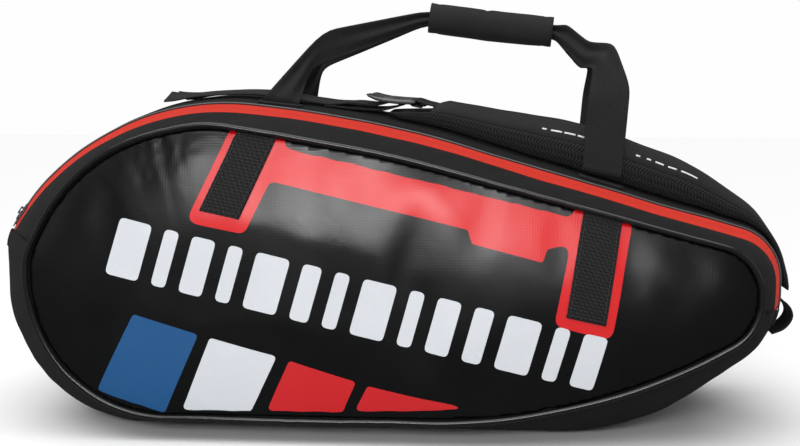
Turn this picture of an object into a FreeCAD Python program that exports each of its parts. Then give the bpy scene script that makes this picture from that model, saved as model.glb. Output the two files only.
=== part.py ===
import FreeCAD, Part
import math
import os

# Racket tournament bag: two compartments, one either side of a padded divider.
# Millimetres. X runs along the bag towards its low nose, -Y is the front side, +Z is up.
# The origin is the middle of the flat base, on the surface that the bag stands on.

V = FreeCAD.Vector

# Side outlines as rounded polygons: corner x, corner z, corner radius, clockwise from the low left.
SEAM_OUTLINE = [(-390, 0, 145), (-390, 193, 46), (-297, 345, 255), (-93, 322.5, 267),
                (10, 306.5, 1450), (388, 196, 52), (387, 100, 85), (245, 0, 230)]
PANEL_OUTLINE = [(-343, 27, 134), (-343, 181, 57), (-291, 283, 177), (-168, 309, 107),
                 (0, 281, 1000), (355, 187, 45), (355, 119, 48), (190, 28, 560)]
CREST_OUTLINE = [(-390, 0, 145), (-392, 193, 46), (-299, 347, 255), (-91, 327.5, 267),
                 (12, 317, 900), (388, 199, 52), (390, 100, 85), (245, 0, 230)]

# Stations across the bag, measured from the middle plane.
CREST_SHOULDER_Y = 45
SEAM_Y = 70
ZIP_MID_Y = 82
ZIP_EDGE_Y = 94
PANEL_Y = 146

FABRIC = 1.8            # coated fabric of gussets and base
SEAM_GAP = 0.5          # clearance left in each seam
ZIP_DROP = 8            # how far the zip band falls from its rear edge to its front edge
TAPE = 1.0
COIL_DEPTH = 2.6
COIL_WIDTH = 2.0
COIL_GAP = 1.2          # slot between the two halves of the coil

# The zip runs over the top, between these two heights.
ZIP_LEFT_Z = 203
ZIP_RIGHT_Z = 132
BASE_LEFT_X = -245
BASE_RIGHT_X = 165

# Front panel crown: share of the outline's size, and how far it stands out there.
CROWN = [(1.0, 0), (0.955, 4), (0.86, 8.5), (0.7, 11)]
CROWN_CENTRE = (8, 150)
PANEL_SKIN = 2.0
PANEL_FOAM = 5.0
PANEL_LINING = 0.8
LAYER_GAP = 0.4

PIPING_RADIUS = 3.0
SEAM_PIPING_RADIUS = 1.6

DIVIDER_FOAM = 6.0
DIVIDER_SKIN = 1.0
DIVIDER_INSET = 8.0
BOARD = 2.6
LINING_INSET = 5.8
LINING = 0.8

WEBBING = 2.0
HANDLE_BASE_Y = -60
HANDLE_LEFT_X = -109    # where the two legs of each handle are sewn down
HANDLE_RIGHT_X = 213
HANDLE_WIDTH = 38
HANDLE_STEPS = 4        # sections between two stations of the webbing, so that it twists gradually
GRIP_LEFT = V(38, 0, 415.5)
GRIP_RIGHT = V(164, 0, 400.5)
GRIP_RADIUS = 12
GRIP_BORE = 8.8
GRIP_SPLIT = 0.7

STRAP_NEAR_Y = -57
STRAP_FAR_Y = -5
STRAP_UNDER = [(40, 310, 4), (112, 289.5, 300), (256, 247.5, 200),
               (338, 219.5, 90), (382, 198, 46), (396, 142, 1.2)]
STRAP_TOP = [(44.5, 331.5, 5), (200, 306, 300), (308, 266, 150),
             (368, 223.5, 80), (393, 184, 70), (403.5, 146, 1.2)]
STRAP_MESH_TIP = (2, 319.5, 1)   # the mesh roll starts further left than the top, in a point
STRAP_MESH_SHARE = 0.5  # share of the strap's thickness that is spacer mesh
STRAP_LAYER_GAP = 0.01
STRAP_WEB_NEAR_Y = -48
STRAP_WEB_FAR_Y = -14
BUCKLE_MARGIN = 4       # how far the buckle's frame stands out past the webbing
END_TAB_WIDTH = 40

SLIDER_ANGLE = 145.0    # where the closed slider stands on the left arc, from +X
SLIDER_LENGTH = 14
SLIDER_WIDTH = 11
SLIDER_PLATE = 1.5
SLIDER_CLEAR = 1.3

FRONT_STRIPS = {"left": [(-134, 303), (-98, 296), (-132, 221), (-170, 229)],
                "right": [(190, 229), (226, 219), (213, 124), (176, 132)]}


def save(name, shape):
    os.makedirs("parts", exist_ok=True)
    shape.exportStep("parts/" + name + ".step")


def wire_at(corners, y):
    """Closed wire of a rounded polygon in the plane of constant y."""
    points = [V(x, y, z) for x, z, _ in corners]
    starts = []
    middles = []
    ends = []
    for i, (_, _, radius) in enumerate(corners):
        corner = points[i]
        back = (points[i - 1] - corner).normalize()
        ahead = (points[(i + 1) % len(points)] - corner).normalize()
        half = back.getAngle(ahead) / 2
        reach = radius / math.tan(half)
        inward = (back + ahead).normalize()
        starts.append(corner + back * reach)
        middles.append(corner + inward * (radius / math.sin(half) - radius))
        ends.append(corner + ahead * reach)
    edges = []
    for i in range(len(points)):
        following = (i + 1) % len(points)
        edges.append(Part.Arc(starts[i], middles[i], ends[i]).toShape())
        edges.append(Part.LineSegment(ends[i], starts[following]).toShape())
    return Part.Wire(edges)


def inset(corners, distance):
    """The same rounded polygon with every side moved inwards, or outwards if negative."""
    moved = []
    for i, (x, z, radius) in enumerate(corners):
        px, pz, _ = corners[i - 1]
        nx, nz, _ = corners[(i + 1) % len(corners)]
        back = math.atan2(z - pz, x - px)
        ahead = math.atan2(nz - z, nx - x)
        normals = [(math.sin(a), -math.cos(a)) for a in (back, ahead)]
        scale = distance / (1 + normals[0][0] * normals[1][0] + normals[0][1] * normals[1][1])
        dx = (normals[0][0] + normals[1][0]) * scale
        dz = (normals[0][1] + normals[1][1]) * scale
        moved.append((x + dx, z + dz, max(radius - distance, 2)))
    return moved


def between(first, second, share):
    """Rounded polygon part of the way from one outline to another."""
    return [tuple(a + (b - a) * share for a, b in zip(p, q)) for p, q in zip(first, second)]


def scaled(corners, share):
    cx, cz = CROWN_CENTRE
    return [(cx + (x - cx) * share, cz + (z - cz) * share, r * share) for x, z, r in corners]


def loft(stations):
    return Part.makeLoft([wire_at(corners, y) for y, corners in stations], True, True)


def prism(polygon, low_y, high_y):
    points = [V(x, low_y, z) for x, z in polygon]
    face = Part.Face(Part.makePolygon(points + [points[0]]))
    return face.extrude(V(0, high_y - low_y, 0))


def box(low, high):
    size = V(*high) - V(*low)
    return Part.makeBox(size.x, size.y, size.z, V(*low))


FAR = 450               # beyond the bag on every side, for the regions that cut it
TOP_REGION = [(-FAR, ZIP_LEFT_Z), (0, ZIP_LEFT_Z), (0, ZIP_RIGHT_Z), (FAR, ZIP_RIGHT_Z),
              (FAR, FAR), (-FAR, FAR)]
LOWER_REGION = [(-FAR, -50), (FAR, -50), (FAR, ZIP_RIGHT_Z - 1), (-1, ZIP_RIGHT_Z - 1),
                (-1, ZIP_LEFT_Z - 1), (-FAR, ZIP_LEFT_Z - 1)]


def band(stations, thickness, depth=0.0):
    """Fabric band through the stations, its outer face set in by depth."""
    outer = loft([(y, inset(corners, depth)) for y, corners in stations])
    # the inner loft runs a little past both ends so that the band stays open
    slightly = 0.001
    inner_stations = [(y, inset(corners, depth + thickness)) for y, corners in stations]
    first_y, first = inner_stations[0]
    last_y, last = inner_stations[-1]
    inner_stations[0] = (first_y - slightly, first)
    inner_stations[-1] = (last_y + slightly, last)
    return outer.cut(loft(inner_stations))


ZIP_EDGE = inset(SEAM_OUTLINE, ZIP_DROP)


def side_outline(y):
    """Outline of the front half's outer surface at a distance y in front of the middle plane."""
    if y <= SEAM_Y:
        rise = math.sqrt(1 - (y / SEAM_Y) ** 2)
        return between(SEAM_OUTLINE, CREST_OUTLINE, rise)
    if y <= ZIP_EDGE_Y:
        return between(SEAM_OUTLINE, ZIP_EDGE, (y - SEAM_Y) / (ZIP_EDGE_Y - SEAM_Y))
    return between(ZIP_EDGE, PANEL_OUTLINE, (y - ZIP_EDGE_Y) / (PANEL_Y - ZIP_EDGE_Y))


def stations(*distances):
    return [(-y, side_outline(abs(y))) for y in sorted(distances, reverse=True)]


def surface_z(x, y):
    """Height of the outer surface above a point."""
    face = Part.Face(wire_at(side_outline(abs(y)), y))
    column = Part.LineSegment(V(x, y, 100), V(x, y, 600)).toShape()
    return face.common(column).BoundBox.ZMax


# ---- middle of the bag -------------------------------------------------------

def centre_band():
    edge = SEAM_Y - SEAM_GAP
    shoulders = (-62, -CREST_SHOULDER_Y, -22, 0, 22, CREST_SHOULDER_Y, 62)
    return band(stations(-edge, *shoulders, edge), FABRIC)


def make_centre_gussets():
    ring = centre_band()
    low_y = -SEAM_Y
    high_y = SEAM_Y
    below = ZIP_LEFT_Z - 1
    below_right = ZIP_RIGHT_Z - 1
    save("top_gusset", ring.common(prism(TOP_REGION, low_y, high_y)))
    edge = SEAM_Y - SEAM_GAP
    save("base_panel", box((BASE_LEFT_X + 1, -edge, 0), (BASE_RIGHT_X - 1, edge, FABRIC)))
    save("left_end_gusset", ring.common(box((-FAR, low_y, -20), (BASE_LEFT_X, high_y, below))))
    save("right_end_gusset", ring.common(box((BASE_RIGHT_X, low_y, -20), (FAR, high_y, below_right))))


def make_base_board():
    bottom = FABRIC + LAYER_GAP
    board = box((BASE_LEFT_X + 20, -SEAM_Y + 4, bottom), (BASE_RIGHT_X - 15, SEAM_Y - 4, bottom + BOARD))
    save("base_board", board)


def make_divider():
    outline = inset(CREST_OUTLINE, DIVIDER_INSET)
    half = DIVIDER_FOAM / 2
    skin_y = half + 0.3

    def sheet(low_y, high_y):
        return Part.Face(wire_at(outline, low_y)).extrude(V(0, high_y - low_y, 0))

    save("divider_foam", sheet(-half, half))
    save("divider_front_skin", sheet(-skin_y - DIVIDER_SKIN, -skin_y))
    save("divider_rear_skin", sheet(skin_y, skin_y + DIVIDER_SKIN))


def body_lining():
    return band([(-SEAM_Y + 2, SEAM_OUTLINE), (-5, SEAM_OUTLINE)], LINING, LINING_INSET)


def seam_piping():
    offset = SEAM_PIPING_RADIUS + 0.1
    path = wire_at(inset(SEAM_OUTLINE, -offset), -SEAM_Y - SEAM_PIPING_RADIUS + 0.2)
    return pipe(path, SEAM_PIPING_RADIUS).common(prism(TOP_REGION, -SEAM_Y - 5, -SEAM_Y + 5))


def pipe(path, radius):
    start = path.Vertexes[0].Point
    direction = path.Edges[0].tangentAt(path.Edges[0].FirstParameter)
    circle = Part.Wire(Part.makeCircle(radius, start, direction))
    return path.makePipeShell([circle], True, False)


# ---- zip -----------------------------------------------------------------------

def tape(low, high, coil_low, coil_high):
    flat = band(stations(low, high), TAPE)
    coil = band(stations(coil_low, coil_high), COIL_DEPTH)
    return flat.fuse(coil).removeSplitter().common(prism(TOP_REGION, -ZIP_EDGE_Y - 5, -SEAM_Y + 5))


def flap_tape():
    inner_edge = ZIP_MID_Y + COIL_GAP / 2
    return tape(ZIP_EDGE_Y - SEAM_GAP, inner_edge, inner_edge + COIL_WIDTH, inner_edge)


def body_tape():
    inner_edge = ZIP_MID_Y - COIL_GAP / 2
    return tape(inner_edge, SEAM_Y + SEAM_GAP, inner_edge, inner_edge - COIL_WIDTH)


def zip_end(left):
    """Folded fabric tab over the end of the zip, sewn on the lower gusset."""
    low_z = (ZIP_LEFT_Z if left else ZIP_RIGHT_Z) - 16
    cover = band(stations(ZIP_EDGE_Y - 2, SEAM_Y + 2), 1.4, -1.6)
    low_x, high_x = (-FAR, -300) if left else (300, FAR)
    return cover.common(box((low_x, -ZIP_EDGE_Y, low_z), (high_x, -SEAM_Y, low_z + 13)))


def slider_frame():
    """Arc centre, radial and across directions at the slider's rest place."""
    corner_x, corner_z, radius = SEAM_OUTLINE[2]
    back = V(SEAM_OUTLINE[1][0] - corner_x, 0, SEAM_OUTLINE[1][1] - corner_z).normalize()
    ahead = V(SEAM_OUTLINE[3][0] - corner_x, 0, SEAM_OUTLINE[3][1] - corner_z).normalize()
    inward = (back + ahead).normalize()
    half = back.getAngle(ahead) / 2
    centre = V(corner_x, -ZIP_MID_Y, corner_z) + inward * (radius / math.sin(half))
    angle = math.radians(SLIDER_ANGLE)
    radial = V(math.cos(angle), 0, math.sin(angle))
    along = V(math.sin(angle), 0, -math.cos(angle))
    tilt = math.atan2(ZIP_DROP, ZIP_EDGE_Y - SEAM_Y)
    across = V(0, math.cos(tilt), 0) + radial * math.sin(tilt)
    normal = radial * math.cos(tilt) - V(0, math.sin(tilt), 0)
    surface = centre + radial * (radius - ZIP_DROP / 2)
    return centre, surface, along, across, normal


def placed_box(length, width, low, high, shift=0.0, upright=False):
    """Box in the slider's own axes: length along the zip, width across it, low to high off the tape."""
    _, surface, along, across, normal = slider_frame()
    if upright:
        across = V(0, 1, 0)
        normal = along.cross(across)
    origin = surface + along * (shift - length / 2) - across * (width / 2) + normal * low
    corners = [origin, origin + along * length, origin + along * length + across * width,
               origin + across * width]
    face = Part.Face(Part.makePolygon(corners + [corners[0]]))
    return face.extrude(normal * (high - low))


def slider():
    top = placed_box(SLIDER_LENGTH, SLIDER_WIDTH, SLIDER_CLEAR, SLIDER_CLEAR + SLIDER_PLATE)
    under = -COIL_DEPTH - SLIDER_CLEAR
    bottom = placed_box(SLIDER_LENGTH, SLIDER_WIDTH, under - SLIDER_PLATE, under)
    blade = placed_box(5, 0.5, under - 0.2, SLIDER_CLEAR + 0.2, 3, upright=True)
    bridge = placed_box(8, 2, SLIDER_CLEAR + SLIDER_PLATE - 0.1, SLIDER_CLEAR + 4.5)
    hole = placed_box(4.4, 4, SLIDER_CLEAR + SLIDER_PLATE, SLIDER_CLEAR + 3.3)
    return top.fuse([bottom, blade, bridge.cut(hole)]).removeSplitter()


def pull_tab():
    """Pull hung on the slider's bridge, lying back over the end of the zip."""
    low = SLIDER_CLEAR + SLIDER_PLATE + 0.5
    ring = placed_box(7.5, 6.4, low, low + 1.0, -2.25)
    eye = placed_box(5.2, 2.6, low - 0.2, low + 1.2, -2.0)
    tab = placed_box(22, 6.4, low, low + 1.6, -16.2)
    return ring.cut(eye).fuse(tab).removeSplitter()


# ---- flap: the whole side that opens ----------------------------------------------

def crown(offset, size=1.0):
    """Solid between the panel's plane and its crowned face, moved outwards by offset."""
    levels = [(-PANEL_Y - out - offset, scaled(PANEL_OUTLINE, share * size)) for share, out in CROWN]
    return loft(levels)


def layer(outer, inner, size=1.0):
    return crown(outer, size).cut(crown(inner, size))


def front_panel():
    return layer(0, -PANEL_SKIN)


def panel_foam():
    outer = -PANEL_SKIN - LAYER_GAP
    return layer(outer, outer - PANEL_FOAM, 0.97)


def panel_lining():
    outer = -PANEL_SKIN - PANEL_FOAM - 2 * LAYER_GAP
    return layer(outer, outer - PANEL_LINING, 0.96)


def panel_piping():
    path = wire_at(inset(PANEL_OUTLINE, -PIPING_RADIUS - 0.3), -PANEL_Y - 1.5)
    return pipe(path, PIPING_RADIUS)


def upper_gusset():
    reach = stations(PANEL_Y - 2.5, ZIP_EDGE_Y)
    return band(reach, FABRIC).common(prism(TOP_REGION, -PANEL_Y, -ZIP_EDGE_Y))


def lower_gusset():
    reach = stations(PANEL_Y - 2.5, ZIP_EDGE_Y, SEAM_Y + SEAM_GAP)
    return band(reach, FABRIC).common(prism(LOWER_REGION, -PANEL_Y, -SEAM_Y))


def webbing_strip(side):
    cover = layer(0.3 + WEBBING, 0.3)
    return cover.common(prism(FRONT_STRIPS[side], -PANEL_Y - 40, -PANEL_Y + 10))


# ---- carry handle ------------------------------------------------------------------

def ribbon(sections):
    """Webbing through sections of middle, width direction and width."""
    wires = []
    for i, (middle, across, width) in enumerate(sections):
        before = sections[max(i - 1, 0)][0]
        after = sections[min(i + 1, len(sections) - 1)][0]
        side = V(*across).normalize()
        normal = side.cross(V(*after) - V(*before)).normalize()
        half = side * (width / 2)
        thick = normal * (WEBBING / 2)
        centre = V(*middle)
        corners = [centre - half - thick, centre + half - thick, centre + half + thick, centre - half + thick]
        wires.append(Part.makePolygon(corners + [corners[0]]))
    return Part.makeLoft(wires, True, True)


def handle_webbing():
    """Webbing leg, fold, run into the grip, run out of it, fold and leg, each station by its two edges."""
    left_z = surface_z(HANDLE_LEFT_X, HANDLE_BASE_Y) + 4.6
    right_z = surface_z(HANDLE_RIGHT_X, HANDLE_BASE_Y) + 6
    half = HANDLE_WIDTH / 2
    base_y = HANDLE_BASE_Y
    edges = [((HANDLE_LEFT_X - half, base_y, left_z + 2.5), (HANDLE_LEFT_X + half, base_y, left_z - 2.5)),
             ((-67, -42, 401), (-81, -42, 364)),
             ((-17, -24, 411), (-24, -24, 385)),
             ((35, -5, 421.5), (35, -5, 410.5)),
             ((167, -5, 406), (167, -5, 395)),
             ((179, -14, 407), (178, -14, 380)),
             ((200, -30, 389), (193, -30, 364)),
             ((224, -50, 386), (204, -50, 364)),
             ((239, -59.5, 345), (199, -59.5, 335)),
             ((HANDLE_RIGHT_X + half, base_y, right_z - 5), (HANDLE_RIGHT_X - half, base_y, right_z + 5))]
    sections = []
    for (a, b), (c, d) in zip(edges, edges[1:] + edges[-1:]):
        steps = HANDLE_STEPS if (a, b) != (c, d) else 1
        for k in range(steps):
            first = V(*a) + (V(*c) - V(*a)) * (k / steps)
            second = V(*b) + (V(*d) - V(*b)) * (k / steps)
            sections.append((tuple((first + second) * 0.5), tuple(second - first), (second - first).Length))
    webbing = ribbon(sections)
    if webbing.Volume < 0:
        webbing.reverse()
    return webbing


def handle_anchors():
    """Reinforcing patch under each leg of the handle."""
    patches = []
    for x, slope, lift in ((HANDLE_LEFT_X, -8, 2.2), (HANDLE_RIGHT_X, -15, 4.4)):
        z = surface_z(x, HANDLE_BASE_Y - 5)
        patch = Part.makeBox(44, 9, 1.2, V(-22, -4.5, 0))
        patch.rotate(V(0, 0, 0), V(0, 1, 0), -slope)
        patch.translate(V(x, HANDLE_BASE_Y, z + lift))
        patches.append(patch)
    return Part.makeCompound(patches)


def grip_half():
    axis = GRIP_RIGHT - GRIP_LEFT
    sleeve = Part.makeCylinder(GRIP_RADIUS, axis.Length, GRIP_LEFT, axis)
    bore = Part.makeCylinder(GRIP_BORE, axis.Length, GRIP_LEFT, axis)
    front = box((GRIP_LEFT.x - 20, -40, 350), (GRIP_RIGHT.x + 20, -GRIP_SPLIT, 460))
    return sleeve.cut(bore).common(front)


# ---- shoulder strap ------------------------------------------------------------------

def slab(path, low, high, near_y, far_y):
    """Strip along a path in the XZ plane, from low to high off it."""
    turned = []
    for i, (x, z, _) in enumerate(path):
        px, pz, _ = path[max(i - 1, 0)]
        nx, nz, _ = path[min(i + 1, len(path) - 1)]
        along = V(nx - px, 0, nz - pz).normalize()
        turned.append(V(-along.z, 0, along.x))
    upper = [(x + n.x * high, z + n.z * high, r) for (x, z, r), n in zip(path, turned)]
    lower = [(x + n.x * low, z + n.z * low, r) for (x, z, r), n in zip(path, turned)]
    end_radius = (high - low) * 0.4
    for line in (upper, lower):
        line[0] = (line[0][0], line[0][1], end_radius)
        line[-1] = (line[-1][0], line[-1][1], end_radius)
    return Part.Face(wire_at(upper + lower[::-1], near_y)).extrude(V(0, far_y - near_y, 0))


def strap_layer(low_share, high_share, tip=None):
    """Part of the strap's thickness, from its underside at 0 to its top at 1."""
    lower = between(STRAP_UNDER, STRAP_TOP, low_share)
    upper = between(STRAP_UNDER, STRAP_TOP, high_share)
    if tip:
        lower[0] = tip
    outline = wire_at(upper + lower[::-1], STRAP_NEAR_Y)
    return Part.Face(outline).extrude(V(0, STRAP_FAR_Y - STRAP_NEAR_Y, 0))


def strap_mesh():
    return strap_layer(0, STRAP_MESH_SHARE - STRAP_LAYER_GAP, STRAP_MESH_TIP)


def strap_pad():
    return strap_layer(STRAP_MESH_SHARE + STRAP_LAYER_GAP, 1)


def strap_tab():
    """Webbing tab that holds the buckle on the strap's end."""
    path = [(30, 327, 1), (37, 324, 1)]
    return slab(path, -1.5, 1.5, STRAP_WEB_NEAR_Y, STRAP_WEB_FAR_Y)


def strap_webbing():
    """Adjusting webbing from its folded, sewn end to the buckle."""
    sewn_z = surface_z(-215, STRAP_WEB_NEAR_Y) + 4
    crossing_z = surface_z(-110, -30) + 6
    peak_z = surface_z(-165, -30) + 5
    path = [(-231, sewn_z + 2, 0.8), (-215, sewn_z, 30), (-165, peak_z, 150),
            (-110, crossing_z, 150), (-26, 327, 0.8)]
    return slab(path, 0, WEBBING, STRAP_WEB_NEAR_Y, STRAP_WEB_FAR_Y)


def buckle():
    """Ladder-lock adjuster: a frame with two slots and a lifted lever at its left end."""
    near_y = STRAP_WEB_NEAR_Y - BUCKLE_MARGIN
    far_y = STRAP_WEB_FAR_Y + BUCKLE_MARGIN
    frame = slab([(-22, 334, 1), (-8, 329, 8), (27, 327, 1)], 0, 5, near_y, far_y)
    for low_x, high_x in ((-8, -1), (7, 14)):
        frame = frame.cut(box((low_x, STRAP_WEB_NEAR_Y - 1, 300), (high_x, STRAP_WEB_FAR_Y + 1, 360)))
    return frame


def end_tab():
    """Folded webbing tab at the nose."""
    path = [(394, 130, 1), (406, 126, 6), (413, 112, 8), (406, 97, 6), (393, 92, 1)]
    return slab(path, 0, 3, -END_TAB_WIDTH / 2, END_TAB_WIDTH / 2)


def mirrored(shape):
    return shape.mirror(V(0, 0, 0), V(0, 1, 0))


# Every piece that the front half has is repeated on the rear half.
PAIRED = {
    "panel": front_panel, "panel_foam": panel_foam, "panel_lining": panel_lining,
    "panel_piping": panel_piping, "upper_gusset": upper_gusset, "lower_gusset": lower_gusset,
    "left_webbing_strip": lambda: webbing_strip("left"),
    "right_webbing_strip": lambda: webbing_strip("right"),
    "zip_flap_tape": flap_tape, "zip_body_tape": body_tape,
    "zip_left_end": lambda: zip_end(True), "zip_right_end": lambda: zip_end(False),
    "zip_slider": slider, "zip_pull": pull_tab,
    "seam_piping": seam_piping, "body_lining": body_lining,
    "handle_webbing": handle_webbing, "handle_anchors": handle_anchors, "handle_grip": grip_half,
    "strap_pad": strap_pad, "strap_mesh": strap_mesh, "strap_tab": strap_tab,
    "strap_webbing": strap_webbing, "strap_buckle": buckle,
}

make_centre_gussets()
make_base_board()
make_divider()
save("nose_tab", end_tab())
for piece_name, make in PAIRED.items():
    piece = make()
    save("front_" + piece_name, piece)
    save("rear_" + piece_name, mirrored(piece))
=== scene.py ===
import math

import bmesh
import bpy
import numpy as np
from mathutils import Matrix, Vector, noise
from mathutils.bvhtree import BVHTree
from mathutils.geometry import barycentric_transform, delaunay_2d_cdt


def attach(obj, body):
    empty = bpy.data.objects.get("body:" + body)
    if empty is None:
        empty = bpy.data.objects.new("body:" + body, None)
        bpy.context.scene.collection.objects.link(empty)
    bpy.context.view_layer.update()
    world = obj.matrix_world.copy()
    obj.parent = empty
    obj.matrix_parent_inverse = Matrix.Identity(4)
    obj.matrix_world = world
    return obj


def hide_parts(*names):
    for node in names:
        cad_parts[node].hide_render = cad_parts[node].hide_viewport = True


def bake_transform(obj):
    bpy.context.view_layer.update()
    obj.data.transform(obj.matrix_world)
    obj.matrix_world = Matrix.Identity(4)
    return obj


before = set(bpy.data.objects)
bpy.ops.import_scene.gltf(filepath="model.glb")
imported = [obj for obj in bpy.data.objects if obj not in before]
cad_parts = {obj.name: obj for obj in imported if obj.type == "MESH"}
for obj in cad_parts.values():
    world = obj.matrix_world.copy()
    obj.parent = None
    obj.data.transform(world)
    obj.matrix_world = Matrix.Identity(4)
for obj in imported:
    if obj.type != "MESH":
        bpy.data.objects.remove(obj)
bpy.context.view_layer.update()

# ---- driving sizes, in metres, from the frame's own design ---------------------------------------

MM = 0.001

# Rounded polygons: corner x, corner z, corner radius in millimetres, clockwise from the low left.
SEAM_OUTLINE = [(-390, 0, 145), (-390, 193, 46), (-297, 345, 255), (-93, 322.5, 267),
                (10, 306.5, 1450), (388, 196, 52), (387, 100, 85), (245, 0, 230)]
PANEL_OUTLINE = [(-343, 27, 134), (-343, 181, 57), (-291, 283, 177), (-168, 309, 107),
                 (0, 281, 1000), (355, 187, 45), (355, 119, 48), (190, 28, 560)]
CREST_OUTLINE = [(-390, 0, 145), (-392, 193, 46), (-299, 347, 255), (-91, 327.5, 267),
                 (12, 317, 900), (388, 199, 52), (390, 100, 85), (245, 0, 230)]

SEAM_Y = 0.070
ZIP_MID_Y = 0.082
ZIP_EDGE_Y = 0.094
PANEL_Y = 0.146
ZIP_DROP = 0.008
ZIP_LEFT_Z = 0.203
ZIP_RIGHT_Z = 0.132
OUTLINE_STEP = 0.005
CROWN = 0.010
CROWN_REACH = 0.045
CROWN_STEEPNESS = 1.6
SCRIM_PITCH = 0.0026
MESH_ROW = 0.0042
MESH_CELL = 0.0034
MESH_LEAN = 0.9
FABRIC_THICKNESS = 0.0016
TARPAULIN_THICKNESS = 0.0018
STRAP_WEBBING_THICKNESS = 0.0018
STRIP_LIFT = 0.0021
STITCH_PITCH = 0.0042
STITCH_LENGTH = 0.0028
STITCH_RADIUS = 0.00028
PANEL_PIPING_RADIUS = 0.0030
SEAM_PIPING_RADIUS = 0.0009
WELD_DISTANCE = 1e-5
LINE_STEPS = 24
CORNER_STEPS = 6


# ---- outlines ------------------------------------------------------------------------------------

def corner_parts(corners):
    """Arc centre, radius, start and end angle and the tangent points of each corner."""
    parts = []
    count = len(corners)
    for i, (x, z, radius) in enumerate(corners):
        corner = Vector((x, z))
        back = (Vector(corners[i - 1][:2]) - corner).normalized()
        ahead = (Vector(corners[(i + 1) % count][:2]) - corner).normalized()
        half = back.angle(ahead) / 2
        inward = (back + ahead).normalized()
        centre = corner + inward * (radius / math.sin(half))
        reach = radius / math.tan(half)
        parts.append((centre, radius, corner + back * reach, corner + ahead * reach, math.pi - 2 * half))
    return parts


def segment_counts():
    """Number of steps in each arc and each straight run, the same on every outline."""
    parts = corner_parts(SEAM_OUTLINE)
    step = OUTLINE_STEP / MM
    counts = []
    for i, (_, radius, _, end, turn) in enumerate(parts):
        start = parts[(i + 1) % len(parts)][2]
        counts.append((max(3, round(radius * turn / step)), max(2, round((start - end).length / step))))
    return counts


COUNTS = segment_counts()


def outline_points(corners):
    """Closed outline as an array of x, z in metres."""
    parts = corner_parts(corners)
    points = []
    for i, (centre, radius, start, end, turn) in enumerate(parts):
        arc_steps, line_steps = COUNTS[i]
        first = math.atan2(start.y - centre.y, start.x - centre.x)
        for k in range(arc_steps):
            angle = first - turn * k / arc_steps
            points.append((centre.x + radius * math.cos(angle), centre.y + radius * math.sin(angle)))
        following = parts[(i + 1) % len(parts)][2]
        for k in range(line_steps):
            point = end.lerp(following, k / line_steps)
            points.append((point.x, point.y))
    return np.array(points) * MM


def outward(points):
    """Unit normals of a closed outline, in its plane."""
    along = np.roll(points, -1, 0) - np.roll(points, 1, 0)
    along /= np.linalg.norm(along, axis=1)[:, None]
    return np.stack([-along[:, 1], along[:, 0]], 1)


SEAM = outline_points(SEAM_OUTLINE)
CREST = outline_points(CREST_OUTLINE)
PANEL = outline_points(PANEL_OUTLINE)
SEAM_NORMAL = outward(SEAM)
ZIP_EDGE = SEAM - SEAM_NORMAL * ZIP_DROP
RUN = np.concatenate([[0], np.cumsum(np.linalg.norm(np.roll(SEAM, -1, 0) - SEAM, axis=1))])
COUNT = len(SEAM)
LEFT_SPLIT = next(i for i in range(COUNT) if SEAM[i][0] < -0.3 and SEAM[i][1] > ZIP_LEFT_Z)
RIGHT_SPLIT = next(i for i in range(LEFT_SPLIT, COUNT) if SEAM[i][0] > 0.3 and SEAM[i][1] < ZIP_RIGHT_Z)
OVER_TOP = list(range(LEFT_SPLIT, RIGHT_SPLIT + 1))
UNDER = list(range(RIGHT_SPLIT, COUNT)) + list(range(0, LEFT_SPLIT + 1))


def ring(y):
    """Outline of the outer surface in the plane y, before any sag or pucker."""
    away = abs(y)
    if away <= SEAM_Y:
        return SEAM + (CREST - SEAM) * math.sqrt(max(0.0, 1 - (away / SEAM_Y) ** 2))
    if away <= ZIP_EDGE_Y:
        return SEAM + (ZIP_EDGE - SEAM) * (away - SEAM_Y) / (ZIP_EDGE_Y - SEAM_Y)
    return ZIP_EDGE + (PANEL - ZIP_EDGE) * (away - ZIP_EDGE_Y) / (PANEL_Y - ZIP_EDGE_Y)


def waver(x, y, z, wavelength, seed):
    """Smooth noise from -1 to 1 with the given wavelength."""
    return noise.noise(Vector((x / wavelength + seed, y / wavelength, z / wavelength)))


def soft_offset(x, y, z):
    """How far the stuffed fabric stands off its outline: a slow unevenness that every seam shares."""
    slow = 0.0022 * waver(x, y, z, 0.14, 3.1) + 0.0008 * waver(x, y, z, 0.045, 7.7)
    return slow * min(1.0, z / 0.03)


def shell_point(index, y, lift=0.0):
    """Point of the soft outer surface, lifted off it along the outline's normal."""
    points = ring(y)
    x, z = points[index]
    nx, nz = SEAM_NORMAL[index]
    off = lift + soft_offset(x, y, z)
    return (x + nx * off, y, max(z + nz * off, 0.0006))


# ---- mesh helpers --------------------------------------------------------------------------------

def add_object(name, data):
    obj = bpy.data.objects.new(name, data)
    bpy.context.scene.collection.objects.link(obj)
    return obj


def new_object(name, verts, faces, uvs=None, material=None, smooth=True):
    mesh = bpy.data.meshes.new(name)
    mesh.from_pydata([tuple(v) for v in verts], [], faces)
    mesh.update()
    if uvs is not None:
        layer = mesh.uv_layers.new(name="UVMap")
        loops = np.empty(len(mesh.loops), dtype=np.int32)
        mesh.loops.foreach_get("vertex_index", loops)
        layer.data.foreach_set("uv", np.asarray(uvs, dtype=np.float32)[loops].ravel())
    if smooth:
        mesh.polygons.foreach_set("use_smooth", [True] * len(mesh.polygons))
    if material is not None:
        mesh.materials.append(material)
    return add_object(name, mesh)


def grid_object(name, rows, uvs, material, closed=False):
    """Object from rows of points of equal length; closed joins the last point of each row to the first."""
    width = len(rows[0])
    verts = [p for row in rows for p in row]
    flat = [uv for row in uvs for uv in row]
    faces = []
    for r in range(len(rows) - 1):
        for c in range(width if closed else width - 1):
            d = (c + 1) % width
            faces.append((r * width + c, r * width + d, (r + 1) * width + d, (r + 1) * width + c))
    return new_object(name, verts, faces, flat, material)


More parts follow.
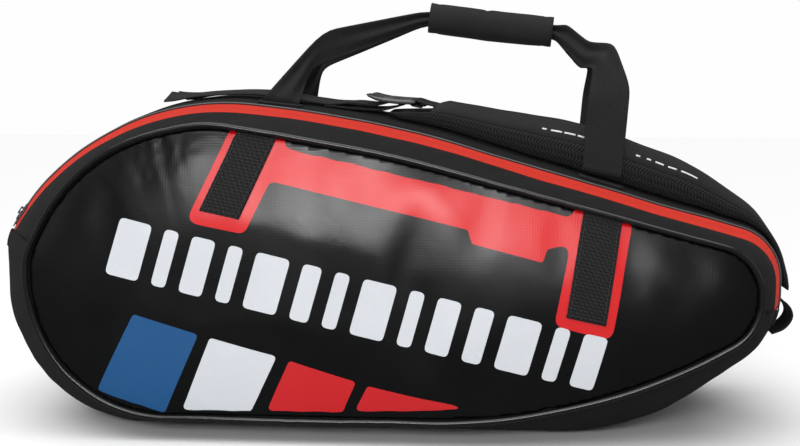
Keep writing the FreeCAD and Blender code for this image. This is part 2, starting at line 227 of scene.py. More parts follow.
def apply_modifiers(obj):
    bpy.context.view_layer.update()
    evaluated = obj.evaluated_get(bpy.context.evaluated_depsgraph_get())
    mesh = bpy.data.meshes.new_from_object(evaluated)
    old = obj.data
    obj.modifiers.clear()
    obj.data = mesh
    bpy.data.meshes.remove(old)
    return obj


def modified(obj, kind, **settings):
    """The object with one more modifier, and all its modifiers applied."""
    modifier = obj.modifiers.new(kind.lower(), kind)
    for key, value in settings.items():
        setattr(modifier, key, value)
    return apply_modifiers(obj)


def solidify(obj, thickness, offset=-1.0):
    return modified(obj, "SOLIDIFY", thickness=thickness, offset=offset, use_even_offset=False)


def join(name, objects):
    """One object from several, keeping the first one's materials."""
    bpy.context.view_layer.update()
    merged = bmesh.new()
    materials = []
    for obj in objects:
        for material in obj.data.materials:
            if material not in materials:
                materials.append(material)
        slots = [materials.index(m) for m in obj.data.materials]
        before = len(merged.faces)
        merged.from_mesh(obj.data)
        merged.faces.ensure_lookup_table()
        for face in merged.faces[before:]:
            face.material_index = slots[face.material_index] if slots else 0
    mesh = bpy.data.meshes.new(name)
    merged.to_mesh(mesh)
    merged.free()
    for material in materials:
        mesh.materials.append(material)
    for obj in objects:
        bpy.data.objects.remove(obj)
    return add_object(name, mesh)


def mirrored(obj, name):
    """The same piece on the rear half."""
    mesh = obj.data.copy()
    mesh.transform(Matrix.Scale(-1, 4, (0, 1, 0)))
    mesh.flip_normals()
    return add_object(name, mesh)


def tube(name, points, radius, material, closed=False, sides=10):
    """Round tube through points, with its UV in metres."""
    curve_points = [Vector(p) for p in points]
    count = len(curve_points)
    rows = []
    uvs = []
    run = 0.0
    normal = None
    for i, p in enumerate(curve_points):
        ahead = curve_points[(i + 1) % count] if closed or i < count - 1 else p
        back = curve_points[i - 1] if closed or i > 0 else p
        along = (ahead - back).normalized()
        if normal is None:
            normal = along.orthogonal().normalized()
        normal = (normal - along * normal.dot(along)).normalized()
        side = along.cross(normal)
        run += (p - back).length if i else 0.0
        angles = [2 * math.pi * k / sides for k in range(sides)]
        rows.append([tuple(p + (normal * math.cos(a) + side * math.sin(a)) * radius) for a in angles])
        uvs.append([(run, radius * a) for a in angles])
    if closed:
        rows.append(rows[0])
        uvs.append([(run + (curve_points[0] - curve_points[-1]).length, v) for _, v in uvs[0]])
    obj = grid_object(name, rows, uvs, material, closed=True)
    if closed:
        weld(obj)
    else:
        cap(obj)
    return obj


def remeshed(obj, change):
    """The object after a change to its mesh, with every face pointing outwards."""
    work = bmesh.new()
    work.from_mesh(obj.data)
    change(work)
    bmesh.ops.recalc_face_normals(work, faces=work.faces)
    work.to_mesh(obj.data)
    work.free()
    return obj


def weld(obj):
    return remeshed(obj, lambda work: bmesh.ops.remove_doubles(work, verts=work.verts, dist=WELD_DISTANCE))


def cap(obj):
    """Closes the open ends of a tube or shell."""
    def fill(work):
        edges = [e for e in work.edges if e.is_boundary]
        bmesh.ops.holes_fill(work, edges=edges, sides=0)
    return remeshed(obj, fill)


# ---- materials -----------------------------------------------------------------------------------

class Shader:
    """Small helper to write a node material as a few lines."""

    def __init__(self, name, color, roughness, **inputs):
        self.material = bpy.data.materials.new(name)
        self.material.use_nodes = True
        self.nodes = self.material.node_tree.nodes
        self.links = self.material.node_tree.links
        self.surface = self.nodes["Principled BSDF"]
        self.set("Base Color", (*color, 1))
        self.set("Roughness", roughness)
        for key, value in inputs.items():
            self.set(key.replace("_", " "), value)
        self.material.diffuse_color = (*color, 1)

    def set(self, name, value):
        if isinstance(value, bpy.types.NodeSocket):
            self.links.new(value, self.surface.inputs[name])
        else:
            self.surface.inputs[name].default_value = value

    def uv(self):
        return self.nodes.new("ShaderNodeUVMap").outputs[0]

    def place(self):
        return self.nodes.new("ShaderNodeTexCoord").outputs["Object"]

    def split(self, vector):
        node = self.nodes.new("ShaderNodeSeparateXYZ")
        self.links.new(vector, node.inputs[0])
        return node.outputs

    def math(self, operation, a, b=0.0, clamp=False):
        node = self.nodes.new("ShaderNodeMath")
        node.operation = operation
        node.use_clamp = clamp
        for slot, value in enumerate((a, b)):
            if isinstance(value, bpy.types.NodeSocket):
                self.links.new(value, node.inputs[slot])
            else:
                node.inputs[slot].default_value = value
        return node.outputs[0]

    def wave(self, value, pitch):
        """Smooth ridge from 0 to 1 that repeats every pitch."""
        sine = self.math("SINE", self.math("MULTIPLY", value, 2 * math.pi / pitch))
        return self.math("ADD", self.math("MULTIPLY", sine, 0.5), 0.5)

    def noise(self, vector, scale, detail=3.0):
        node = self.nodes.new("ShaderNodeTexNoise")
        node.inputs["Scale"].default_value = scale
        node.inputs["Detail"].default_value = detail
        self.links.new(vector, node.inputs["Vector"])
        return node.outputs[0]

    def ramp(self, value, low, high):
        node = self.nodes.new("ShaderNodeMapRange")
        self.links.new(value, node.inputs[0])
        node.inputs[3].default_value = low
        node.inputs[4].default_value = high
        return node.outputs[0]

    def mix(self, share, first, second):
        node = self.nodes.new("ShaderNodeMix")
        node.data_type = "RGBA"
        self.links.new(share, node.inputs[0])
        node.inputs[6].default_value = (*first, 1)
        node.inputs[7].default_value = (*second, 1)
        return node.outputs[2]

    def bump(self, height, distance, strength=1.0):
        node = self.nodes.new("ShaderNodeBump")
        node.inputs["Strength"].default_value = strength
        node.inputs["Distance"].default_value = distance
        self.links.new(height, node.inputs["Height"])
        self.set("Normal", node.outputs[0])


def weave(shader, pitch_u, pitch_v):
    """Plain weave height from the piece's UV: threads over and under in turn."""
    u, v, _ = shader.split(shader.uv())
    across = shader.wave(u, pitch_u)
    down = shader.wave(v, pitch_v)
    check = shader.math("MULTIPLY", shader.math("SINE", shader.math("MULTIPLY", u, math.pi / pitch_u)),
                        shader.math("SINE", shader.math("MULTIPLY", v, math.pi / pitch_v)))
    over = shader.math("GREATER_THAN", check, 0.0)
    under = shader.math("SUBTRACT", 1.0, over)
    return shader.math("ADD", shader.math("MULTIPLY", across, over), shader.math("MULTIPLY", down, under))


def tarpaulin(name, color, roughness):
    """Coated tarpaulin: a glossy film over a fine scrim, a little uneven."""
    shader = Shader(name, color, roughness, Specular_IOR_Level=0.42)
    place = shader.place()
    u, v, _ = shader.split(shader.uv())
    grid = shader.math("MAXIMUM", shader.wave(u, SCRIM_PITCH), shader.wave(v, SCRIM_PITCH))
    uneven = shader.noise(place, 60.0, 4.0)
    height = shader.math("ADD", shader.math("MULTIPLY", grid, 0.35), shader.math("MULTIPLY", uneven, 1.6))
    shader.bump(height, 0.00025, 0.55)
    smudge = shader.noise(place, 14.0, 3.0)
    shader.set("Roughness", shader.ramp(smudge, roughness - 0.06, roughness + 0.1))
    shader.set("Base Color", shader.mix(smudge, color, tuple(c * 1.12 + 0.002 for c in color)))
    return shader.material


def woven(name, color, pitch_u, pitch_v, depth, roughness, sheen):
    shader = Shader(name, color, roughness, Specular_IOR_Level=0.2, Sheen_Weight=sheen, Sheen_Roughness=0.5)
    height = weave(shader, pitch_u, pitch_v)
    shader.bump(height, depth, 0.8)
    cloudy = shader.noise(shader.place(), 30.0, 4.0)
    # The colour runs from dim in the hollows of the weave to bright on the thread tops, mottled by a cloudy
    # noise: painted shade between the threads and a painted highlight on them, with a random tone on top.
    dim = tuple(c * 0.6 for c in color)
    bright = tuple(c * 1.5 + 0.004 for c in color)
    shader.set("Base Color", shader.mix(shader.math("MULTIPLY", height, cloudy, clamp=True), dim, bright))
    return shader.material


def webbing_material(name, pitch_u, pitch_v, depth):
    """Webbing with warp ribs along it and finer weft across."""
    shader = Shader(name, (0.018, 0.018, 0.02), 0.62, Specular_IOR_Level=0.25, Sheen_Weight=0.04)
    height = weave(shader, pitch_u, pitch_v)
    shader.bump(height, depth, 0.9)
    # The colour runs from near black between the threads to lighter on their tops: painted shade in the weave
    # and a painted highlight on the ribs.
    shader.set("Base Color", shader.mix(height, (0.003, 0.003, 0.0035), (0.016, 0.016, 0.0175)))
    return shader.material


def mesh_material():
    """Spacer mesh: rows of small open cells that lean to and fro, row by row."""
    shader = Shader("air_mesh", (0.016, 0.016, 0.018), 0.8, Sheen_Weight=0.03, Specular_IOR_Level=0.2)
    u, v, _ = shader.split(shader.uv())
    lean = shader.math("MULTIPLY", shader.math("PINGPONG", v, MESH_ROW), MESH_LEAN)
    strand = shader.wave(shader.math("ADD", u, lean), MESH_CELL)
    row = shader.wave(v, MESH_ROW)
    height = shader.math("ADD", shader.math("MULTIPLY", strand, 0.75), shader.math("MULTIPLY", row, 0.25))
    shader.bump(height, 0.0012, 1.0)
    # The colour runs from near black in the hollows to lighter on the strand tops: painted shade in the open
    # cells and a painted highlight on the strands.
    shader.set("Base Color", shader.mix(height, (0.0015, 0.0015, 0.0018), (0.022, 0.022, 0.024)))
    return shader.material


def plastic(name, color, roughness):
    shader = Shader(name, color, roughness, Specular_IOR_Level=0.5)
    shader.bump(shader.noise(shader.place(), 900.0, 2.0), 0.0001, 0.25)
    worn = shader.noise(shader.place(), 40.0)
    shader.set("Roughness", shader.ramp(worn, roughness - 0.05, roughness + 0.08))
    return shader.material


def zip_material():
    """Red zip tape: fine ribs along the tape, a little sheen."""
    shader = Shader("zip_red", (0.7, 0.03, 0.01), 0.6, Sheen_Weight=0.05, Specular_IOR_Level=0.2)
    height = weave(shader, 0.0012, 0.0012)
    shader.bump(height, 0.0003, 0.7)
    # The red runs darker between the threads and lighter on their tops: painted shade and a painted highlight
    # in the weave.
    shader.set("Base Color", shader.mix(height, (0.42, 0.012, 0.006), (0.74, 0.034, 0.012)))
    return shader.material


def metal_material():
    shader = Shader("slider_metal", (0.16, 0.16, 0.165), 0.42, Metallic=0.8)
    shader.bump(shader.noise(shader.place(), 1500.0, 2.0), 0.00005, 0.4)
    return shader.material


TARPAULIN = tarpaulin("tarpaulin_black", (0.0010, 0.0012, 0.0016), 0.27)
PRINT_RED = tarpaulin("print_red", (0.50, 0.004, 0.006), 0.3)
PRINT_DEEP_RED = tarpaulin("print_deep_red", (0.45, 0.003, 0.006), 0.34)
PRINT_WHITE = tarpaulin("print_white", (0.49, 0.51, 0.54), 0.34)
PRINT_BLUE = tarpaulin("print_blue", (0.005, 0.066, 0.19), 0.32)
POLYESTER = woven("polyester_black", (0.0034, 0.0034, 0.0040), 0.0011, 0.0011, 0.0003, 0.7, 0.03)
STRAP_FABRIC = woven("strap_fabric", (0.0135, 0.0135, 0.0145), 0.0012, 0.0012, 0.0003, 0.62, 0.04)
GRIP_FABRIC = woven("grip_cover", (0.013, 0.013, 0.014), 0.0013, 0.0013, 0.0004, 0.6, 0.04)
LINING = woven("lining", (0.12, 0.125, 0.13), 0.001, 0.001, 0.0002, 0.6, 0.2)
WEBBING = webbing_material("webbing_black", 0.0019, 0.0016, 0.0003)
COARSE_WEBBING = webbing_material("webbing_coarse", 0.0026, 0.0032, 0.0010)
AIR_MESH = mesh_material()
PIPING = plastic("piping_black", (0.006, 0.006, 0.0065), 0.2)
# The seam piping's pale grey is a painted highlight: a light line along the glossy seam cord above the zip.
PAINTED_HIGHLIGHT_PIPING = plastic("piping_pale", (0.07, 0.072, 0.076), 0.35)
BUCKLE = plastic("buckle_plastic", (0.01, 0.01, 0.011), 0.3)
BOARD = plastic("stiffener", (0.03, 0.03, 0.03), 0.5)
ZIP_TAPE = zip_material()
METAL = metal_material()
THREAD = woven("thread_black", (0.03, 0.03, 0.033), 0.0006, 0.0006, 0.0001, 0.6, 0.2)
MARK = tarpaulin("print_mark", (0.62, 0.64, 0.66), 0.45)


# ---- shell bands ---------------------------------------------------------------------------------

def stations(low, high, step=0.005):
    count = max(2, round((high - low) / step))
    return [low + (high - low) * k / count for k in range(count + 1)]


def band(name, span, low_y, high_y, material, bulge=0.0, lift=0.0, pucker=0.0, step=0.005):
    """Fabric band between two planes, bulging between its two seams, with small puckers along them."""
    rows = []
    uvs = []
    reach = 0.0
    ys = stations(low_y, high_y, step)
    for k, y in enumerate(ys):
        share = k / (len(ys) - 1)
        swell = bulge * math.sin(math.pi * share)
        row = []
        for i in span:
            fold = pucker * waver(RUN[i], share * 0.01, 0.0, 0.015, low_y * 50) * math.sin(math.pi * share)
            row.append(shell_point(i, y, lift + swell + fold))
        if rows:
            reach += (Vector(row[len(row) // 2]) - Vector(rows[-1][len(row) // 2])).length
        rows.append(row)
        uvs.append([(RUN[i] if i or n == 0 else RUN[COUNT], reach) for n, i in enumerate(span)])
    return solidify(grid_object(name, rows, uvs, material), FABRIC_THICKNESS)


# ---- front panel ---------------------------------------------------------------------------------

def resample(loop, step):
    """Points along a closed outline, a step apart, that keep its corners."""
    points = []
    for k in range(len(loop)):
        a = loop[k]
        b = loop[(k + 1) % len(loop)]
        pieces = max(1, round(float(np.linalg.norm(b - a)) / step))
        points.extend(a + (b - a) * j / pieces for j in range(pieces))
    kept = [points[0]]
    for p in points[1:]:
        if np.linalg.norm(p - kept[-1]) > step * 0.45:
            kept.append(p)
    return np.array(kept)


def inside(points, polygon):
    """Which points lie inside a closed outline."""
    x = points[:, 0]
    z = points[:, 1]
    result = np.zeros(len(points), bool)
    for k in range(len(polygon)):
        x1, z1 = polygon[k]
        x2, z2 = polygon[k - 1]
        crosses = (z1 > z) != (z2 > z)
        if z1 != z2:
            result ^= crosses & (x < (x2 - x1) * (z - z1) / (z2 - z1) + x1)
    return result


def mesh_plan(boundary, step, outlines=()):
    """Triangles over the inside of a closed outline, with every other given outline as mesh edges."""
    loops = [resample(boundary, step)] + [resample(np.array(o), step) for o in outlines]
    verts = []
    edges = []
    for loop in loops:
        first = len(verts)
        verts.extend(Vector(p) for p in loop)
        edges.extend((first + k, first + (k + 1) % len(loop)) for k in range(len(loop)))
    fixed = np.array([tuple(v) for v in verts])
    low = boundary.min(0)
    high = boundary.max(0)
    row = 0
    z = low[1]
    lattice = []
    while z < high[1]:
        xs = np.arange(low[0] + (row % 2) * step / 2, high[0], step)
        lattice.append(np.stack([xs, np.full(len(xs), z)], 1))
        z += step * math.sqrt(3) / 2
        row += 1
    lattice = np.concatenate(lattice)
    keep = inside(lattice, boundary)
    for chunk in np.array_split(np.arange(len(fixed)), max(1, len(fixed) // 300)):
        gap = np.linalg.norm(lattice[:, None] - fixed[None, chunk], axis=2).min(1)
        keep &= gap > step * 0.55
    verts.extend(Vector(p) for p in lattice[keep])
    result = delaunay_2d_cdt(verts, edges, [], 0, 1e-6)
    points = np.array([tuple(v) for v in result[0]])
    faces = np.array([f for f in result[2] if len(f) == 3])
    centres = points[faces].mean(1)
    # slivers along the rim would turn into spikes when the sheet gets its thickness
    rim = boundary - outward(boundary) * 0.0004
    return points, faces[inside(centres, rim)]


def distance_to(outline, points):
    """Distance of each point from the line of a closed outline."""
    gap = np.full(len(points), 1.0)
    for start, end in zip(outline, np.roll(outline, -1, 0)):
        side = end - start
        share = np.clip((points - start) @ side / (side @ side), 0.0, 1.0)
        gap = np.minimum(gap, np.linalg.norm(points - start - share[:, None] * side, axis=1))
    return gap


CLOTH_LATTICE = 0.0075
CLOTH_FRAMES = 25
CLOTH_SINK = 0.004      # how far the cloth may settle into the foam's crown, or stand off it
CLOTH_RISE = 0.005
SEWN_GAP = 1e-5
CLOTH_SETTINGS = {"quality": 6, "mass": 0.3, "tension_stiffness": 40, "compression_stiffness": 40,
                  "shear_stiffness": 20, "bending_stiffness": 9.0, "tension_damping": 15,
                  "compression_damping": 15, "vertex_group_mass": "sewn", "shrink_min": -0.0035,
                  "use_pressure": True, "uniform_pressure_force": 2.2}


class PanelSurface:
    """The front panel's face: cloth sewn down all round its outline, over its crowned foam."""

    def __init__(self):
        self.boundary = PANEL - outward(PANEL) * 0.0006
        self.sides = np.roll(self.boundary, -1, 0) - self.boundary
        self.squares = (self.sides ** 2).sum(1)
        points, faces = mesh_plan(self.boundary, CLOTH_LATTICE)
        self.sheet = self.simulated(points, faces)

    def crown(self, points):
        """Height of the crowned foam under the cloth."""
        gap = distance_to(self.boundary, points)
        return CROWN * (1 - np.exp(-gap / CROWN_REACH * CROWN_STEEPNESS)), gap

    def simulated(self, points, faces):
        """Cloth a little larger than its outline, pushed out by the foam and held at the seam."""
        height, gap = self.crown(points)
        verts = [(p[0], -PANEL_Y - h, p[1]) for p, h in zip(points, height)]
        uvs = [tuple(p) for p in points]
        obj = new_object("panel_cloth", verts, [tuple(f) for f in faces], uvs)
        self.run_cloth(obj, gap)
        moved = np.array([tuple(v.co) for v in obj.data.vertices])
        ahead = -PANEL_Y - height - moved[:, 1]
        moved[:, 1] = -PANEL_Y - height - np.clip(ahead, -CLOTH_SINK, CLOTH_RISE)
        obj.data.vertices.foreach_set("co", moved.ravel())
        modified(obj, "SUBSURF", levels=1, render_levels=1)
        layer = obj.data.uv_layers[0]
        co = [v.co.copy() for v in obj.data.vertices]
        plan = [None] * len(co)
        for loop in obj.data.loops:
            u, v = layer.data[loop.index].uv
            plan[loop.vertex_index] = Vector((u, v, 0.0))
        polygons = [tuple(p.vertices) for p in obj.data.polygons]
        triangles = [(p[0], p[k], p[k + 1]) for p in polygons for k in range(1, len(p) - 1)]
        tree = BVHTree.FromPolygons(plan, triangles)
        bpy.data.objects.remove(obj)
        return co, plan, triangles, tree

    @staticmethod
    def run_cloth(obj, gap):
        group = obj.vertex_groups.new(name="sewn")
        group.add([int(i) for i in np.nonzero(gap < SEWN_GAP)[0]], 1.0, "REPLACE")
        cloth = obj.modifiers.new("cloth", "CLOTH")
        for key, value in CLOTH_SETTINGS.items():
            setattr(cloth.settings, key, value)
        cloth.settings.effector_weights.gravity = 0.0
        cloth.point_cache.frame_start = 1
        cloth.point_cache.frame_end = 30
        scene = bpy.context.scene
        for step in range(1, CLOTH_FRAMES + 1):
            scene.frame_set(step)
        loose = obj.vertex_groups.new(name="loose")
        loose.add([int(i) for i in np.nonzero(gap > SEWN_GAP)[0]], 1.0, "REPLACE")
        modified(obj, "SMOOTH", iterations=12, factor=0.5, vertex_group="loose")
        scene.frame_set(1)

    def at(self, x, z, lift=0.0):
        """Point on the face over a plan position, and the face's normal there."""
        co, plan, triangles, tree = self.sheet
        hit, _, index, _ = tree.ray_cast(Vector((x, z, 1.0)), Vector((0, 0, -1)))
        if hit is None:
            hit, _, index, _ = tree.find_nearest(Vector((x, z, 0.0)))
        a, b, c = triangles[index]
        point = barycentric_transform(hit, plan[a], plan[b], plan[c], co[a], co[b], co[c])
        normal = (co[b] - co[a]).cross(co[c] - co[a]).normalized()
        if normal.y > 0:
            normal = -normal
        along, rise = self.pucker(x, z)
        return point + normal * (lift + along * rise)

    def pucker(self, x, z):
        """Small gathers that run in from the seam, strongest along the top left."""
        away = np.array([x, z]) - self.boundary
        share = np.clip((away * self.sides).sum(1) / self.squares, 0.0, 1.0)
        gaps = np.linalg.norm(away - share[:, None] * self.sides, axis=1)
        nearest = int(gaps.argmin())
        gap = gaps[nearest]
        run = RUN[nearest] + share[nearest] * (RUN[nearest + 1] - RUN[nearest])
        gathered = math.exp(-((x + 0.195) / 0.06) ** 2) if z > 0.18 else 0.0
        strength = 0.00009 + 0.0017 * gathered
        ripple = waver(run, 0.0, 0.0, 0.020, 1.7) + 0.5 * waver(run, gap, 0.0, 0.010, 4.2)
        fade = math.exp(-gap / (0.014 + 0.012 * gathered)) * min(1.0, gap / 0.004)
        return ripple, strength * fade


def rounded(corners, radius):
    """Polygon in millimetres with rounded corners, as plan points in metres."""
    points = []
    count = len(corners)
    for i, corner in enumerate(corners):
        p = Vector(corner[:2])
        r = corner[2] if len(corner) > 2 else radius
        back = (Vector(corners[i - 1][:2]) - p).normalized()
        ahead = (Vector(corners[(i + 1) % count][:2]) - p).normalized()
        half = back.angle(ahead) / 2
        start = p + back * (r / math.tan(half))
        end = p + ahead * (r / math.tan(half))
        for k in range(CORNER_STEPS + 1):
            t = k / CORNER_STEPS
            points.append((start.lerp(p, t)).lerp(p.lerp(end, t), t))
    return np.array([tuple(p) for p in points]) * MM


panel_surface = PanelSurface()

# ---- placing pieces ------------------------------------------------------------------------------

def place(obj, body, nodes=(), slot=None, fill=None, bend=None):
    """Hides the frame's parts that a piece stands for and hangs the piece on the body it rides on; a piece
    given a bend (body, body, start, end) only has its transform baked in and hangs on no body.
    """
    if nodes:
        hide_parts(*nodes)
    if bend:
        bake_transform(obj)
    else:
        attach(obj, body)


def rear_name(name):
    return name.replace("front_", "rear_")


def place_pair(obj, body, nodes=(), slot=None, fill=None, bend=None):
    """Places a piece of the front half, and its mirror image on the rear half."""
    twin = mirrored(obj, rear_name(obj.name))
    place(obj, body, nodes, slot, fill, bend)
    if bend:
        first, second, start, end = bend
        rear_start = (start[0], -start[1], start[2])
        rear_end = (end[0], -end[1], end[2])
        turned = (rear_name(first), rear_name(second), rear_start, rear_end)
        place(twin, None, [rear_name(n) for n in nodes], slot, fill, turned)
    else:
        place(twin, rear_name(body), [rear_name(n) for n in nodes], slot, fill)


# ---- front panel with its prints and strips ------------------------------------------------------

LEFT_STRIP = [(-134, 306), (-97, 299), (-132, 221), (-170, 229)]
RIGHT_STRIP = [(192, 234), (228, 224), (213, 124), (176, 132)]
RED_BAND = [(-136, 318, 2), (-79, 318, 2), (-92.5, 289, 8), (181, 224, 10), (188, 246, 2), (240, 240, 2),
            (219, 110, 10), (165, 124, 10), (180, 201, 9), (158, 195.5, 3), (154, 183, 3), (88, 200, 3),
            (84, 213, 2), (-103, 257.5, 8), (-127, 207, 10), (-183, 218, 10)]
BLOCKS = [(PRINT_BLUE, [(-236, 129), (-173, 110), (-211, 29), (-277, 52)]),
          (PRINT_WHITE, [(-162, 107), (-98, 89), (-125, 33), (-193, 33)]),
          (PRINT_DEEP_RED, [(-86, 85), (-22, 65), (-36, 34), (-110, 33.5)]),
          (PRINT_DEEP_RED, [(-11, 61), (92, 39), (-24, 35)])]
BAR_WIDTHS = [30, 13, 21, 13, 30, 17, 13, 30, 13, 21, 17, 30, 13, 21]
BAR_GAP = 12
BAR_TOP = ((-247, 222), (216, 112))
BAR_FOOT = ((-263, 168), (202, 60))


def bar_outlines():
    """Row of plain slanted bars across the middle of the panel."""
    total = sum(BAR_WIDTHS) + BAR_GAP * (len(BAR_WIDTHS) - 1)
    top = [Vector(p) for p in BAR_TOP]
    foot = [Vector(p) for p in BAR_FOOT]
    run = 0
    bars = []
    for width in BAR_WIDTHS:
        low = run / total
        high = (run + width) / total
        corners = [top[0].lerp(top[1], low), top[0].lerp(top[1], high),
                   foot[0].lerp(foot[1], high), foot[0].lerp(foot[1], low)]
        bars.append(rounded([tuple(c) for c in corners], 5))
        run += width + BAR_GAP
    return bars


def build_panel():
    outlines = [(PRINT_RED, rounded(RED_BAND, 3))]
    outlines += [(material, rounded(corners, 4)) for material, corners in BLOCKS]
    outlines += [(PRINT_WHITE, bar) for bar in bar_outlines()]
    plan, faces = mesh_plan(panel_surface.boundary, 0.0036, [o for _, o in outlines])
    used = np.unique(faces)
    index = np.full(len(plan), -1)
    index[used] = np.arange(len(used))
    plan = plan[used]
    faces = index[faces]
    verts = [panel_surface.at(x, z) for x, z in plan]
    triangles = [tuple(int(i) for i in f) for f in faces]
    obj = new_object("front_panel_tarpaulin", verts, triangles, plan, TARPAULIN)
    slots = np.zeros(len(faces), dtype=np.int32)
    centres = plan[faces].mean(1)
    for material, outline in outlines:
        if obj.data.materials.find(material.name) < 0:
            obj.data.materials.append(material)
        slots[inside(centres, outline)] = obj.data.materials.find(material.name)
    obj.data.polygons.foreach_set("material_index", slots)
    solidify(obj, TARPAULIN_THICKNESS)
    place_pair(obj, "front_flap", ["front_panel"], "tarpaulin_black", 0.7)


def build_panel_liner():
    """Foam and lining on the inside of the panel, as one soft layer."""
    plan, faces = mesh_plan(panel_surface.boundary, 0.012)
    verts = [panel_surface.at(x, z, -0.0026) for x, z in plan]
    obj = new_object("front_panel_liner", verts, [tuple(int(i) for i in f) for f in faces], plan, LINING)
    solidify(obj, 0.0055)
    place_pair(obj, "front_flap", ["front_panel_foam", "front_panel_lining"], "lining", 0.8)


def stitch_row(points, normals):
    """Verts and faces of raised stitches along a line of points."""
    verts = []
    faces = []
    runs = [0.0]
    for a, b in zip(points, points[1:]):
        runs.append(runs[-1] + (b - a).length)
    count = int(runs[-1] / STITCH_PITCH)
    for k in range(count):
        reach = (k + 0.5) * STITCH_PITCH
        i = max(j for j in range(len(points) - 1) if runs[j] <= reach)
        share = (reach - runs[i]) / max(runs[i + 1] - runs[i], 1e-9)
        centre = points[i].lerp(points[i + 1], share)
        along = (points[i + 1] - points[i]).normalized()
        up = normals[i]
        side = along.cross(up).normalized()
        first = len(verts)
        for end, scale, rise in ((-1, 0.35, 0.0), (-0.55, 1, 1), (0.55, 1, 1), (1, 0.35, 0.0)):
            base = centre + along * (STITCH_LENGTH / 2 * end)
            for angle in (0, 60, 120, 180, 240, 300):
                a = math.radians(angle)
                verts.append(base + side * (STITCH_RADIUS * scale * math.cos(a))
                             + up * (STITCH_RADIUS * scale * math.sin(a) + STITCH_RADIUS * 0.6 * rise))
        for r in range(3):
            for c in range(6):
                d = (c + 1) % 6
                low = first + r * 6
                faces.append((low + c, low + d, low + 6 + d, low + 6 + c))
        faces.append(tuple(first + c for c in reversed(range(6))))
        faces.append(tuple(first + 18 + c for c in range(6)))
    return verts, faces


def stitches(name, lines):
    """One object with a row of stitches along each line of (point, normal)."""
    verts = []
    faces = []
    for line in lines:
        points = [Vector(p) for p, _ in line]
        normals = [Vector(n) for _, n in line]
        more, rings = stitch_row(points, normals)
        faces.extend(tuple(len(verts) + i for i in f) for f in rings)
        verts.extend(more)
    uvs = [(v[0], v[2]) for v in verts]
    return new_object(name, verts, faces, uvs, THREAD)


def on_panel_line(start, end):
    """Points and normals along a straight line drawn on the panel."""
    line = []
    for k in range(LINE_STEPS + 1):
        x = (start[0] + (end[0] - start[0]) * k / LINE_STEPS) * MM
        z = (start[1] + (end[1] - start[1]) * k / LINE_STEPS) * MM
        point = panel_surface.at(x, z, STRIP_LIFT)
        normal = (panel_surface.at(x, z, STRIP_LIFT + 0.01) - point).normalized()
        line.append((point, normal))
    return line


def build_strip(side, corners):
    """Coarse webbing sewn down on the panel, with a row of stitches inside its two sides and its low end."""
    top_left, top_right, low_right, low_left = [Vector(c) for c in corners]
    across = 26
    down = 56
    verts = []
    uvs = []
    for r in range(down + 1):
        a = top_left.lerp(low_left, r / down)
        b = top_right.lerp(low_right, r / down)
        for c in range(across + 1):
            p = a.lerp(b, c / across)
            edge = min(c, across - c, down - r)
            weave_lift = 0.00028 * (1 if (c + r) % 2 else -1)
            verts.append(panel_surface.at(p.x * MM, p.y * MM, STRIP_LIFT + weave_lift if edge else 0.0013))
            uvs.append(((b - a).length * c / across * MM, (low_left - top_left).length * r / down * MM))
    wide = across + 1
    faces = [(r * wide + c, (r + 1) * wide + c, (r + 1) * wide + c + 1, r * wide + c + 1)
             for r in range(down) for c in range(across)]
    strip = new_object("front_" + side + "_strip_webbing", verts, faces, uvs, COARSE_WEBBING)
    solidify(strip, STRAP_WEBBING_THICKNESS)
    place_pair(strip, "front_flap", ["front_" + side + "_webbing_strip"], "webbing_black")
    inset = 3.0 / (top_right - top_left).length
    left = (top_left.lerp(top_right, inset), low_left.lerp(low_right, inset))
    right = (top_left.lerp(top_right, 1 - inset), low_left.lerp(low_right, 1 - inset))
    up = 3.5 / (low_left - top_left).length
    low = (low_left.lerp(top_left, up).lerp(low_right.lerp(top_right, up), inset),
           low_left.lerp(top_left, up).lerp(low_right.lerp(top_right, up), 1 - inset))
    lines = [on_panel_line(*line) for line in (left, right, low)]
    place_pair(stitches("front_" + side + "_strip_stitches", lines), "front_flap", slot="webbing_black")


def build_panel_piping():
    """Glossy cord piping in the seam round the panel."""
    normals = outward(PANEL)
    points = []
    for i in range(COUNT):
        x, z = PANEL[i] + normals[i] * 0.0033
        off = soft_offset(x, -PANEL_Y, z) * 0.6 + 0.0003 * waver(RUN[i], 0, 0, 0.02, 5.5)
        height = max(z + normals[i][1] * off, 0.003)
        points.append((x + normals[i][0] * off, -PANEL_Y - 0.0015, height))
    cord = tube("front_panel_cord_piping", points, PANEL_PIPING_RADIUS, PIPING, closed=True, sides=12)
    place_pair(cord, "front_flap", ["front_panel_piping"], "piping_black")


# ---- shell ---------------------------------------------------------------------------------------

